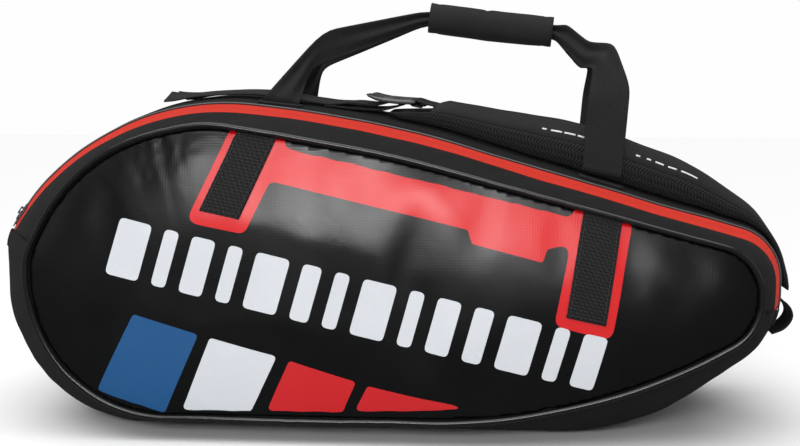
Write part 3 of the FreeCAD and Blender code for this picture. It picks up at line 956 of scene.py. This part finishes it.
def build_shell():
    edge = SEAM_Y - 0.0006
    top = band("top_gusset_fabric", OVER_TOP, -edge, edge, POLYESTER, bulge=0.0015)
    place(top, "bag", ["top_gusset"], "polyester_black")
    left = [i for i in range(COUNT) if SEAM[i][0] <= -0.245 and i <= LEFT_SPLIT]
    low_left = [i for i in range(RIGHT_SPLIT, COUNT) if SEAM[i][0] <= -0.240]
    base = [i for i in range(RIGHT_SPLIT, COUNT) if -0.246 <= SEAM[i][0] <= 0.168]
    right = [i for i in range(RIGHT_SPLIT, COUNT) if SEAM[i][0] >= 0.163]
    left_piece = band("left_end_fabric", low_left + left, -edge, edge, POLYESTER, bulge=0.001)
    place(left_piece, "bag", ["left_end_gusset"], "polyester_black")
    place(band("base_fabric", base, -edge, edge, TARPAULIN), "bag", ["base_panel"], "tarpaulin_black")
    right_piece = band("right_end_fabric", right, -edge, edge, POLYESTER, bulge=0.001)
    place(right_piece, "bag", ["right_end_gusset"], "polyester_black")
    upper = band("front_upper_gusset_fabric", OVER_TOP, -PANEL_Y + 0.0004, -ZIP_EDGE_Y - 0.0004, POLYESTER,
                 bulge=0.0035, pucker=0.0014, step=0.004)
    place_pair(upper, "front_flap", ["front_upper_gusset"], "polyester_black")
    lower = band("front_lower_gusset_fabric", UNDER, -PANEL_Y + 0.0004, -SEAM_Y - 0.0006, POLYESTER,
                 bulge=0.002, pucker=0.0008, step=0.004)
    bend = ("bag", "front_flap", (0, -0.078, 0.1), (0, -0.144, 0.1))
    place_pair(lower, None, ["front_lower_gusset"], "polyester_black", bend=bend)


def build_seam_piping():
    points = [shell_point(i, -SEAM_Y, 0.0006) for i in OVER_TOP]
    points = [(x, -SEAM_Y - 0.0012, z) for x, _, z in points]
    # The cord is coloured pale grey as a painted highlight along the seam above the zip.
    cord = tube("front_seam_cord_piping", points, SEAM_PIPING_RADIUS, PAINTED_HIGHLIGHT_PIPING, sides=10)
    place_pair(cord, "bag", ["front_seam_piping"], "piping_pale")


# ---- zip -----------------------------------------------------------------------------------------

SLIDER_PLACE = (-0.3696, 0.2178)
ZIP_SLOT = 0.0006
TOOTH_PITCH = 0.0022


def zip_half(name, ys, lifts):
    """Zip tape with its edge rolled down into the slot."""
    rows = []
    uvs = []
    for y, lift in zip(ys, lifts):
        rows.append([shell_point(i, y, lift) for i in OVER_TOP])
        uvs.append([(RUN[i], y) for i in OVER_TOP])
    return solidify(grid_object(name, rows, uvs, ZIP_TAPE), 0.0009)


def run_point(reach, y, lift):
    """Point of the shell at a run along the seam outline."""
    i = int(np.searchsorted(RUN, reach)) - 1
    share = (reach - RUN[i]) / (RUN[i + 1] - RUN[i])
    return Vector(shell_point(i, y, lift)).lerp(Vector(shell_point(i + 1, y, lift)), share)


def build_pull():
    """Small pull: a wire link hung on the slider and a short tab, lying along the curved end of the zip."""
    gaps = np.linalg.norm(SEAM - np.array(SLIDER_PLACE), axis=1)
    start = RUN[int(gaps.argmin())]
    link = []
    for k in range(24):
        angle = 2 * math.pi * k / 24
        reach = start - 0.0050 + 0.0046 * math.cos(angle)
        link.append(run_point(reach, -ZIP_MID_Y + 0.0028 * math.sin(angle), 0.0036))
    wire = tube("link", link, 0.0007, METAL, closed=True, sides=8)
    rows = []
    uvs = []
    for k in range(13):
        reach = start - 0.0085 - 0.009 * k / 12
        half = 0.0027 if 0 < k < 12 else 0.0018
        rows.append([run_point(reach, -ZIP_MID_Y + half * side, 0.0032) for side in (-1, -0.5, 0, 0.5, 1)])
        uvs.append([(half * side, reach) for side in (-1, -0.5, 0, 0.5, 1)])
    tab = solidify(grid_object("tab", rows, uvs, METAL), 0.0011)
    place_pair(join("front_zip_pull_link", [wire, tab]), "front_pull", ["front_zip_pull"], "slider_metal")


def zip_teeth(low_y, high_y):
    """Coil turns under the tape's edge, one small block per pitch."""
    verts = []
    faces = []
    start = RUN[LEFT_SPLIT]
    end = RUN[RIGHT_SPLIT]
    count = int((end - start) / TOOTH_PITCH)
    for k in range(count):
        reach = start + (k + (0.5 if low_y < -ZIP_MID_Y else 0.0)) * TOOTH_PITCH
        i = int(np.searchsorted(RUN, reach)) - 1
        share = (reach - RUN[i]) / (RUN[i + 1] - RUN[i])
        for corner_y in (low_y, high_y):
            a = Vector(shell_point(i, corner_y, 0))
            b = Vector(shell_point(i + 1, corner_y, 0))
            along = (b - a).normalized() * 0.0006
            down = Vector((SEAM_NORMAL[i][0], 0, SEAM_NORMAL[i][1]))
            centre = a.lerp(b, share)
            verts.extend((centre - along - down * 0.0005, centre + along - down * 0.0005,
                          centre + along - down * 0.0024, centre - along - down * 0.0024))
        f = k * 8
        faces.extend(((f, f + 1, f + 2, f + 3), (f + 7, f + 6, f + 5, f + 4), (f, f + 4, f + 5, f + 1),
                      (f + 1, f + 5, f + 6, f + 2), (f + 2, f + 6, f + 7, f + 3), (f + 3, f + 7, f + 4, f)))
    return new_object("teeth", verts, faces, [(v[0], v[2]) for v in verts], ZIP_TAPE, smooth=False)


def build_zip():
    mid = ZIP_MID_Y
    flap_ys = [-ZIP_EDGE_Y - 0.001, -ZIP_EDGE_Y + 0.001, -mid - 0.006, -mid - 0.0026,
               -mid - ZIP_SLOT - 0.0004, -mid - ZIP_SLOT]
    flap_lifts = [-0.0004, 0.0003, 0.0006, 0.0009, 0.0005, -0.0010]
    body_ys = [-mid + ZIP_SLOT, -mid + ZIP_SLOT + 0.0004, -mid + 0.0026, -mid + 0.006,
               -SEAM_Y - 0.003, -SEAM_Y - 0.001]
    body_lifts = [-0.0010, 0.0005, 0.0009, 0.0006, 0.0003, -0.0004]
    flap = zip_half("flap", flap_ys, flap_lifts)
    body = zip_half("body", body_ys, body_lifts)
    flap = join("front_zip_flap_side", [flap, zip_teeth(-mid - 0.0025, -mid + 0.0002)])
    body = join("front_zip_body_side", [body, zip_teeth(-mid - 0.0002, -mid + 0.0025)])
    place_pair(flap, "front_flap", ["front_zip_flap_tape"], "zip_red")
    place_pair(body, "bag", ["front_zip_body_tape"], "zip_red")
    for end, side, low in (("left", -1, ZIP_LEFT_Z), ("right", 1, ZIP_RIGHT_Z)):
        span = [i for i in range(COUNT) if SEAM[i][0] * side > 0.3 and low - 0.018 < SEAM[i][1] < low - 0.002]
        tab = band("front_zip_" + end + "_tab", span, -ZIP_EDGE_Y + 0.001, -SEAM_Y - 0.002, POLYESTER,
                   bulge=0.0012, lift=0.0022, step=0.003)
        place_pair(tab, "bag", ["front_zip_" + end + "_end"], "polyester_black")


# ---- webbing, handles ----------------------------------------------------------------------------

def eased(line, passes):
    """Rounds the corners of a line of points a little; its ends stay."""
    for _ in range(passes):
        line = [line[0]] + [(a + b * 2 + c) / 4 for a, b, c in zip(line, line[1:], line[2:])] + [line[-1]]
    return line


RIB_DEPTH = 0.00016


def ribbon(name, edges, full_width, thickness, material, steps=8, passes=3, across=40):
    """Webbing between two edge lines in millimetres. Where the edges run closer together than the
    webbing is wide, it gathers in lengthwise pleats. Fine ribs run along it."""
    left = []
    right = []
    for (a, b), (c, d) in zip(edges, edges[1:]):
        for k in range(steps):
            left.append(Vector(a).lerp(Vector(c), k / steps) * MM)
            right.append(Vector(b).lerp(Vector(d), k / steps) * MM)
    left.append(Vector(edges[-1][0]) * MM)
    right.append(Vector(edges[-1][1]) * MM)
    left = eased(left, passes)
    right = eased(right, passes)
    full = full_width * MM
    rows = []
    uvs = []
    run = 0.0
    for i, (a, b) in enumerate(zip(left, right)):
        middle = (a + b) / 2
        j = min(i + 1, len(left) - 1)
        k = max(i - 1, 0)
        ahead = (left[j] + right[j]) / 2 - (left[k] + right[k]) / 2
        normal = (b - a).cross(ahead).normalized()
        lost = max(0.0, full - (b - a).length)
        pleat = min(0.0036, lost * 0.17)
        run += ahead.length / 2 if i else 0.0
        row = []
        for c in range(across + 1):
            t = c / across
            rise = pleat * math.cos(2 * math.pi * (1.5 * t + 0.1)) * math.sin(math.pi * t) ** 0.5
            rise += RIB_DEPTH * (1 if c % 2 else -1)
            rise += 0.0007 * waver(middle.x, middle.y + t * full, middle.z, 0.03, 4.4)
            row.append(a.lerp(b, t) + normal * rise)
        rows.append(row)
        uvs.append([(full * c / across, run) for c in range(across + 1)])
    return solidify(grid_object(name, rows, uvs, material), thickness, 0.0)


def surface_height(x, y):
    """Height of the soft surface above a point in the bag's plan."""
    points = ring(y)
    span = [i for i in OVER_TOP if abs(points[i][0] - x) < 0.02]
    i = min(span, key=lambda k: abs(points[k][0] - x))
    j = i + 1 if points[i][0] < x else i - 1
    share = (x - points[i][0]) / (points[j][0] - points[i][0])
    z = points[i][1] + (points[j][1] - points[i][1]) * share
    return z + soft_offset(x, y, z)


HANDLE_EDGES = [((-128, -60, 331), (-90, -60, 327)), ((-67, -42, 401), (-81, -42, 364)),
                ((-17, -24, 411), (-24, -24, 385)), ((35, -5.5, 421.5), (35, -5.5, 409)),
                ((100, -5.5, 413), (100, -5.5, 402)), ((167, -5.5, 406.5), (167, -5.5, 394)),
                ((179, -14, 407), (178, -14, 380)), ((200, -30, 389), (193, -30, 364)),
                ((224, -50, 387), (204, -50, 364)), ((239.5, -59.3, 345), (199, -59.3, 335)),
                ((236, -59, 300), (196, -59, 300)), ((232, -60, 253), (194, -60, 262))]

HANDLE_STATIONS = (-0.109, 0.213)


def build_handle():
    strap = ribbon("front_handle_ribbon", HANDLE_EDGES, 38, 0.0016, WEBBING)
    place_pair(strap, "front_handle", ["front_handle_webbing"], "webbing_black")
    patches = []
    for x in HANDLE_STATIONS:
        rows = []
        uvs = []
        for r in range(5):
            y = -0.0645 + 0.009 * r / 4
            line = [x - 0.022 + 0.044 * c / 10 for c in range(11)]
            rows.append([(px, y, surface_height(px, y) + 0.0024) for px in line])
            uvs.append([(px, y) for px in line])
        patches.append(solidify(grid_object("patch", rows, uvs, WEBBING), 0.0022))
    anchors = join("front_handle_anchor_patches", patches)
    place_pair(anchors, "bag", ["front_handle_anchors"], "webbing_black")


GRIP_START = Vector((38, 0, 415.5)) * MM
GRIP_END = Vector((164, 0, 400.5)) * MM
GRIP_RADIUS = 0.0118
GRIP_WALL = 0.0036
GRIP_SAG = 0.0012


def build_grip():
    """Front half of the padded wrap: soft tube wall with hemmed ends and a slight crease in the middle."""
    along = (GRIP_END - GRIP_START).normalized()
    up = Vector((-along.z, 0, along.x))
    length = (GRIP_END - GRIP_START).length
    rows = []
    uvs = []
    lengths = 44
    for i in range(lengths + 1):
        share = i / lengths
        reach = share * length
        from_end = min(reach, length - reach)
        hem = 0.0009 * math.exp(-((from_end - 0.0075) / 0.0014) ** 2)
        crease = 0.0012 * math.exp(-((reach - length * 0.46) / 0.003) ** 2)
        ease = 0.0004 * math.sin(math.pi * share)
        centre = GRIP_START + along * reach - up * (GRIP_SAG * math.sin(math.pi * share))
        row = []
        for k in range(29):
            angle = math.radians(-88.5 + 177 * k / 28)
            outer = GRIP_RADIUS - hem - crease * max(0.0, math.sin(angle)) + ease
            outer += 0.0005 * waver(reach, angle * 0.01, 0, 0.018, 9.1)
            y = -math.cos(angle) * outer * 0.97
            z = math.sin(angle) * outer
            square = 1 + 0.05 * math.sin(2 * angle) ** 2
            row.append(centre + Vector((0, min(y * square, -0.0008), 0)) + up * (z * square))
        rows.append(row)
        uvs.append([(reach, 0.013 * math.radians(177 * k / 28)) for k in range(29)])
    grip = grid_object("front_grip_wrap", rows, uvs, GRIP_FABRIC)
    solidify(grip, GRIP_WALL)
    weld(grip)
    lines = []
    for share in (0.06, 0.94):
        line = []
        for k in range(25):
            angle = math.radians(-84 + 168 * k / 24)
            out = Vector((0, -math.cos(angle), 0)) + up * math.sin(angle)
            centre = GRIP_START + along * (share * length) - up * (GRIP_SAG * math.sin(math.pi * share))
            line.append((centre + out * 0.0119, out))
        lines.append(line)
    place_pair(grip, "front_handle", ["front_handle_grip"], "grip_cover", 0.7)
    place_pair(stitches("front_grip_stitches", lines), "front_handle", slot="grip_cover")


# ---- shoulder straps -----------------------------------------------------------------------------

STRAP_UNDER = [(40, 310, 4), (112, 289.5, 300), (256, 247.5, 200),
               (338, 219.5, 90), (382, 198, 46), (396, 142, 1.2)]
STRAP_TOP = [(44.5, 331.5, 5), (200, 306, 300), (308, 266, 150),
             (368, 223.5, 80), (393, 184, 70), (403.5, 146, 1.2)]
STRAP_UNDER_TIP = (2, 319.5)    # the mesh roll starts further left than the top, in a point
STRAP_TOP_TIP = (-1, 324.5)
STRAP_NEAR = -57
STRAP_WIDTH = 52
STRAP_ROWS = 190
TIP_ROWS = 20
STRAP_TURN = 0.378      # where it turns down over the nose
STRAP_DROOP = 0.012
STRAP_CLEAR = 0.002


def rounded_line(corners):
    """Open line in metres with its inner corners rounded, as STRAP_ROWS + 1 points an equal run apart."""
    points = [Vector(c[:2]) for c in corners]
    line = [points[0]]
    for before, p, after, (_, _, radius) in zip(points, points[1:], points[2:], corners[1:]):
        back = (before - p).normalized()
        ahead = (after - p).normalized()
        reach = radius / math.tan(back.angle(ahead) / 2)
        for k in range(9):
            t = k / 8
            line.append((p + back * reach).lerp(p, t).lerp(p.lerp(p + ahead * reach, t), t))
    line.append(points[-1])
    line = np.array([tuple(p) for p in line]) * MM
    runs = np.concatenate([[0], np.cumsum(np.linalg.norm(np.diff(line, axis=0), axis=1))])
    marks = np.linspace(0, runs[-1], STRAP_ROWS + 1)
    return np.stack([np.interp(marks, runs, line[:, 0]), np.interp(marks, runs, line[:, 1])], 1), runs[-1]


def with_tip(line, tip):
    """The line with rows before it, from the tip of the mesh roll."""
    shares = np.arange(TIP_ROWS)[:, None] / TIP_ROWS
    first = np.array(tip) * MM
    return np.concatenate([first + (line[0] - first) * shares, line])


UNDER_LINE, STRAP_LENGTH = rounded_line(STRAP_UNDER)
TOP_LINE, _ = rounded_line(STRAP_TOP)
UNDER_LINE = with_tip(UNDER_LINE, STRAP_UNDER_TIP)
TOP_LINE = with_tip(TOP_LINE, STRAP_TOP_TIP)
LAST_ROW = TIP_ROWS + STRAP_ROWS
ROW_PITCH = STRAP_LENGTH / STRAP_ROWS
# Profiles of the strap's two layers, as millimetres in from its near edge and share of its thickness.
MESH_PROFILE = [(1.2, 0.58), (0.2, 0.55), (-0.3, 0.46), (-0.2, 0.35), (0.5, 0.24), (2.0, 0.14), (4.6, 0.07),
                (9.0, 0.03), (16, 0.01), (26, 0)]
PAD_PROFILE = [(3.4, 0.50), (1.6, 0.58), (1.5, 0.66), (2.8, 0.76), (5.8, 0.86), (10.5, 0.94),
               (17.5, 0.985), (26, 1)]


def strap_point(row, across, share, lift=0.0, first_row=TIP_ROWS):
    """Point of the strap: a row along it, millimetres in from its near edge and a share of its thickness."""
    low = UNDER_LINE[row]
    high = TOP_LINE[row]
    from_end = min(row - first_row, LAST_ROW - row) * ROW_PITCH
    close = math.sqrt(min(1.0, from_end / 0.013))
    share = 0.5 + (share - 0.5) * (0.3 + 0.7 * close)
    middle = STRAP_NEAR + STRAP_WIDTH / 2
    y = (middle + (STRAP_NEAR + across - middle) * (0.88 + 0.12 * close)) * MM
    soft = 0.0007 * waver(low[0], y, low[1] + share * 0.02, 0.024, 2.2)
    away = high - low
    away = away / max(np.linalg.norm(away), 1e-6) if row else np.array([0.0, 1.0])
    x, z = low + (high - low) * share + away * (lift + soft)
    return (x, y, z - drape(low, y) * max(0.0, 1 - share))


def drape(low, y):
    """How far the strap's underside settles, down to the bag; nothing where it turns down the nose."""
    hanging = np.clip((STRAP_TURN - low[0]) / 0.02, 0.0, 1.0)
    gap = low[1] - surface_height(min(low[0], STRAP_TURN), y) - STRAP_CLEAR
    return hanging * min(max(gap, 0.0), STRAP_DROOP)


def strap_layer(name, profile, inner_share, material, first_row):
    """Lofted layer of the strap: its profile on both sides, closed by a flat line inside the strap."""
    line = profile + [(STRAP_WIDTH - y, h) for y, h in reversed(profile[:-1])]
    line += [(STRAP_WIDTH - 6, inner_share), (STRAP_WIDTH / 2, inner_share), (6, inner_share)]
    marks = [0.0]
    for (y0, h0), (y1, h1) in zip(line, line[1:]):
        marks.append(marks[-1] + math.hypot(y1 - y0, (h1 - h0) * 26) * MM)
    rows = []
    uvs = []
    for row in range(first_row, LAST_ROW + 1):
        rows.append([strap_point(row, y, h, 0.0, first_row) for y, h in line])
        uvs.append([(row * ROW_PITCH, m) for m in marks])
    return cap(grid_object(name, rows, uvs, material, closed=True))


# Short woven marks along the border of the strap: start along it and length, in millimetres.
DASHES = [(110, 5), (119, 10), (132, 10), (145, 7), (204, 5), (214, 5), (223, 8), (236, 8), (250, 17)]


def strap_dashes():
    verts = []
    faces = []
    for start, length in DASHES:
        first = TIP_ROWS + round(start * MM / ROW_PITCH)
        for row in range(first, first + max(2, round(length * MM / ROW_PITCH)) + 1):
            verts.append(strap_point(row, 2.5, 0.74, 0.0004))
            verts.append(strap_point(row, 3.0, 0.775, 0.0004))
            if row > first:
                n = len(verts)
                faces.append((n - 4, n - 2, n - 1, n - 3))
    dashes = new_object("front_strap_dashes", verts, faces, [(v[0], v[2]) for v in verts], MARK)
    return solidify(dashes, 0.0003)


def build_strap():
    pad = strap_layer("front_strap_top", PAD_PROFILE, 0.52, STRAP_FABRIC, TIP_ROWS)
    place_pair(pad, "front_strap", ["front_strap_pad"], "strap_fabric", 0.7)
    mesh = strap_layer("front_strap_spacer_mesh", MESH_PROFILE, 0.48, AIR_MESH, 0)
    place_pair(mesh, "front_strap", ["front_strap_mesh"], "air_mesh", 0.7)
    place_pair(strap_dashes(), "front_strap", slot="strap_fabric")
    near, far = -48, -14
    tab_line = [(50, 324), (44, 326), (36, 327.5), (28, 330.5),
                (23, 331.5), (20.5, 329), (23, 326), (32, 324.5)]
    edges = [((x, near, z), (x, far, z)) for x, z in tab_line]
    tab = ribbon("front_strap_end_tab", edges, 34, STRAP_WEBBING_THICKNESS, WEBBING,
                 steps=4, passes=2, across=34)
    place_pair(tab, "front_strap", ["front_strap_tab"], "webbing_black")
    build_adjusting_webbing(near, far)


def build_adjusting_webbing(near, far):
    """Webbing from its sewn end on the top gusset, through the buckle and back under it as a loose tail."""
    line = [(-232, 11, 3), (-222, 8, 2), (-205, 6.5, 0), (-185, 6, 0), (-160, 6, 0),
            (-135, 7.5, 0), (-110, 7, 0), (-85, 6, 0), (-60, 5, 0)]
    edges = []
    for x, lift, tilt in line:
        z = surface_height(x * MM, -0.031) / MM + lift
        edges.append(((x, near, z - 1.5 - tilt), (x, far, z + 1.5 + tilt)))
    for x, z in ((-40, 329), (-24, 327), (-10, 326.5), (-1, 330), (4, 332.5), (9, 331), (13, 328), (8, 325)):
        edges.append(((x, near, z), (x, far, z)))
    for x, lift in ((-8, 5.5), (-24, 4.2), (-44, 3.0), (-66, 2.6)):
        z = surface_height(x * MM, -0.031) / MM + lift
        edges.append(((x, near, z - 0.8), (x, far, z + 0.8)))
    piece = ribbon("front_strap_adjusting_webbing", edges, 34, STRAP_WEBBING_THICKNESS, WEBBING,
                   steps=4, across=34)
    bend = ("bag", "front_strap", (-0.10, 0, 0.33), (-0.03, 0, 0.33))
    place_pair(piece, None, ["front_strap_webbing"], "webbing_black", bend=bend)


RAIL_BEVEL = 0.0009
BAR_SIDES = 10


def bar_between(a, b, radius_x, radius_z):
    """Rounded bar across the buckle between two points, as an object."""
    rows = []
    for share in (0.0, 0.04, 0.96, 1.0):
        scale = 0.8 if share in (0.0, 1.0) else 1.0
        centre = Vector(a).lerp(Vector(b), share)
        rows.append([centre + Vector((radius_x * scale * math.cos(t), 0, radius_z * scale * math.sin(t)))
                     for t in (2 * math.pi * k / BAR_SIDES for k in range(BAR_SIDES))])
    return cap(grid_object("bar", rows, [[(0, 0)] * BAR_SIDES] * 4, BUCKLE, closed=True))


def buckle_rail(y_low, y_high, line):
    """Side rail of the buckle: a bevelled strip along a line of x, z and half height."""
    verts = []
    for x, z, half in line:
        for y in (y_low, y_high):
            verts.extend(((x, y, z - half), (x, y, z + half)))
    faces = []
    for i in range(len(line) - 1):
        a = i * 4
        faces.extend(((a, a + 4, a + 5, a + 1), (a + 3, a + 7, a + 6, a + 2),
                      (a + 1, a + 5, a + 7, a + 3), (a + 2, a + 6, a + 4, a)))
    last = len(verts) - 4
    faces.extend(((0, 1, 3, 2), (last + 2, last + 3, last + 1, last)))
    verts = [tuple(Vector(v) * MM) for v in verts]
    obj = new_object("rail", verts, faces, [(v[0], v[2]) for v in verts], BUCKLE)
    weld(obj)
    return modified(obj, "BEVEL", width=RAIL_BEVEL, segments=3, limit_method="ANGLE", angle_limit=0.6)


def build_buckle():
    """Ladder-lock adjuster: two side rails, three bars and the lifted lever."""
    rail = [(-22, 336.6, 1.3), (-14, 333.6, 2.1), (-6, 331.6, 2.6),
            (8, 330.2, 2.7), (20, 329.6, 2.6), (27, 329.4, 1.8)]
    parts = [buckle_rail(-52, -48.6, rail), buckle_rail(-13.4, -10, rail)]
    for x, z, rx, rz in ((22.5, 329.4, 2.4, 2.0), (3.5, 329.6, 2.2, 1.7), (-8, 331.6, 2.0, 1.5)):
        parts.append(bar_between((x * MM, -0.049, z * MM), (x * MM, -0.013, z * MM), rx * MM, rz * MM))
    lever = [(-23, 337.2, 0.9), (-18, 335.4, 1.2), (-13, 333.6, 1.4), (-8, 332.2, 1.3)]
    parts.append(buckle_rail(-49.5, -12.5, lever))
    buckle = join("front_buckle_body", parts)
    place_pair(buckle, "front_buckle", ["front_strap_buckle"], "buckle_plastic")


def build_nose_tab():
    loop = [(391, 93), (402, 97), (409, 105), (411.5, 112), (409, 120), (402, 127), (391, 131)]
    edges = [((x, -20, z), (x, 20, z)) for x, z in loop]
    tab = ribbon("nose_webbing_tab", edges, 40, 0.0022, WEBBING, steps=4)
    place(tab, "bag", ["nose_tab"], "webbing_black")


# ---- inside --------------------------------------------------------------------------------------

QUILT_PITCH = 0.06


def build_compartment_lining():
    """Lining of the front compartment, and of the rear one."""
    points = SEAM - SEAM_NORMAL * 0.0060
    ys = stations(-SEAM_Y + 0.002, -0.006, 0.008)
    rows = []
    for y in ys:
        row = []
        for i in range(0, COUNT, 2):
            x, z = points[i]
            off = 0.0008 * waver(x, y, z, 0.05, 6.6)
            row.append((x - SEAM_NORMAL[i][0] * off, y, z - SEAM_NORMAL[i][1] * off + 0.0004))
        rows.append(row)
    uvs = [[(RUN[i], y) for i in range(0, COUNT, 2)] for y in ys]
    lining = grid_object("front_compartment_lining", rows, uvs, LINING, closed=True)
    solidify(lining, 0.0007)
    place_pair(lining, "bag", ["front_body_lining"], "lining")


def build_divider():
    """Padded divider between the compartments, quilted in diamonds."""
    outline = CREST - outward(CREST) * 0.0085
    plan, faces = mesh_plan(outline, 0.012)
    turn = math.pi / QUILT_PITCH
    rising = np.sin((plan[:, 0] + plan[:, 1]) * turn)
    falling = np.sin((plan[:, 0] - plan[:, 1]) * turn)
    puff = 0.0028 + 0.0014 * np.sqrt(np.abs(rising * falling))
    puff *= np.clip(np.sqrt(distance_to(outline, plan) / 0.012), 0.15, 1.0)
    count = len(plan)
    verts = [(p[0], -h, p[1]) for p, h in zip(plan, puff)]
    verts += [(p[0], h, p[1]) for p, h in zip(plan, puff)]
    sides = [tuple(int(i) for i in f) for f in faces]
    sides += [tuple(int(i) + count for i in reversed(f)) for f in faces]
    divider = new_object("divider_pad", verts, sides, list(plan) * 2, LINING)
    close_rim(divider, count)
    place(divider, "bag", ["divider_foam", "divider_front_skin", "divider_rear_skin"], "foam", 0.8)


def close_rim(obj, count):
    """Joins the two matching sheets of a pad round their rim."""
    def bridge(work):
        work.verts.ensure_lookup_table()
        rims = [e for e in work.edges if e.is_boundary and all(v.index < count for v in e.verts)]
        for e in rims:
            a, b = e.verts
            work.faces.new((a, b, work.verts[b.index + count], work.verts[a.index + count]))
    return remeshed(obj, bridge)


# ---- hard pieces kept from the frame -------------------------------------------------------------

def repaint(nodes, material):
    for name in nodes:
        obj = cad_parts[name]
        for slot in obj.material_slots:
            slot.link = "OBJECT"
            slot.material = material


# ---- room, light and camera ----------------------------------------------------------------------

BACKDROP_TO_BAG = 0.12      # the backdrop lights the bag less than it shows to the camera
BACKDROP_TO_CAMERA = 0.99


def build_room():
    corners = [(-6, -6, 0), (6, -6, 0), (6, 6, 0), (-6, 6, 0)]
    floor = new_object("floor", corners, [(0, 1, 2, 3)], smooth=False)
    paper = Shader("floor_paper", (0.95, 0.95, 0.95), 0.9, Specular_IOR_Level=0.0)
    floor.data.materials.append(paper.material)
    floor.visible_glossy = False
    world = bpy.data.worlds.new("studio")
    world.use_nodes = True
    bpy.context.scene.world = world
    nodes = world.node_tree.nodes
    links = world.node_tree.links
    background = nodes["Background"]
    path = nodes.new("ShaderNodeLightPath")
    strength = nodes.new("ShaderNodeMapRange")
    links.new(path.outputs["Is Camera Ray"], strength.inputs[0])
    strength.inputs[3].default_value = BACKDROP_TO_BAG
    strength.inputs[4].default_value = BACKDROP_TO_CAMERA
    background.inputs[0].default_value = (1, 1, 1, 1)
    links.new(strength.outputs[0], background.inputs[1])


def add_light(name, data, direction, location=(0, 0, 0)):
    lamp = add_object(name, data)
    lamp.location = location
    lamp.rotation_euler = direction.to_track_quat("-Z", "Y").to_euler()


# Name, place, target, size and power of each softbox. The front one draws the highlight on the panel.
SOFTBOXES = [("softbox_front", (-0.12, -1.7, 0.60), (0.0, -0.15, 0.26), (0.80, 0.30), 13),
             ("softbox_left", (-1.9, -0.9, 0.9), (0, 0, 0.2), (0.7, 1.2), 2.5),
             ("softbox_right", (1.9, -0.5, 0.9), (0, 0, 0.2), (0.7, 1.2), 2.5)]
OVERHEAD_DIRECTION = (0.08, 0.27, -1)
OVERHEAD_STRENGTH = 2.9
OVERHEAD_SPREAD = 75


def build_lights():
    """A wide overhead light, and softboxes round the front."""
    data = bpy.data.lights.new("overhead", "SUN")
    data.energy = OVERHEAD_STRENGTH
    data.angle = math.radians(OVERHEAD_SPREAD)
    add_light("overhead", data, Vector(OVERHEAD_DIRECTION))
    for name, location, target, size, power in SOFTBOXES:
        data = bpy.data.lights.new(name, "AREA")
        data.shape = "RECTANGLE"
        data.size, data.size_y = size
        data.energy = power
        add_light(name, data, Vector(target) - Vector(location), location)


CAMERA_AZIMUTH = 5
CAMERA_ELEVATION = 6.5
CAMERA_DISTANCE = 1.35
CAMERA_TARGET = Vector((0.012, -0.060, 0.208))
CAMERA_LENS = 60.12


def build_camera():
    data = bpy.data.cameras.new("camera")
    data.sensor_width = 36
    data.lens = CAMERA_LENS
    camera = add_object("camera", data)
    azimuth = math.radians(CAMERA_AZIMUTH)
    rise = math.radians(CAMERA_ELEVATION)
    away = Vector((math.sin(azimuth) * math.cos(rise), -math.cos(azimuth) * math.cos(rise), math.sin(rise)))
    camera.location = CAMERA_TARGET + away * CAMERA_DISTANCE
    camera.rotation_euler = (-away).to_track_quat("-Z", "Y").to_euler()
    bpy.context.scene.camera = camera


build_panel()
build_panel_liner()
build_strip("left", LEFT_STRIP)
build_strip("right", RIGHT_STRIP)
build_panel_piping()
build_shell()
build_seam_piping()
build_zip()
build_pull()
build_handle()
build_grip()
build_strap()
build_buckle()
build_nose_tab()
build_compartment_lining()
build_divider()
repaint(["front_zip_slider", "rear_zip_slider"], METAL)
repaint(["base_board"], BOARD)
build_room()
build_lights()
build_camera()
bpy.context.scene.view_settings.view_transform = "Standard"
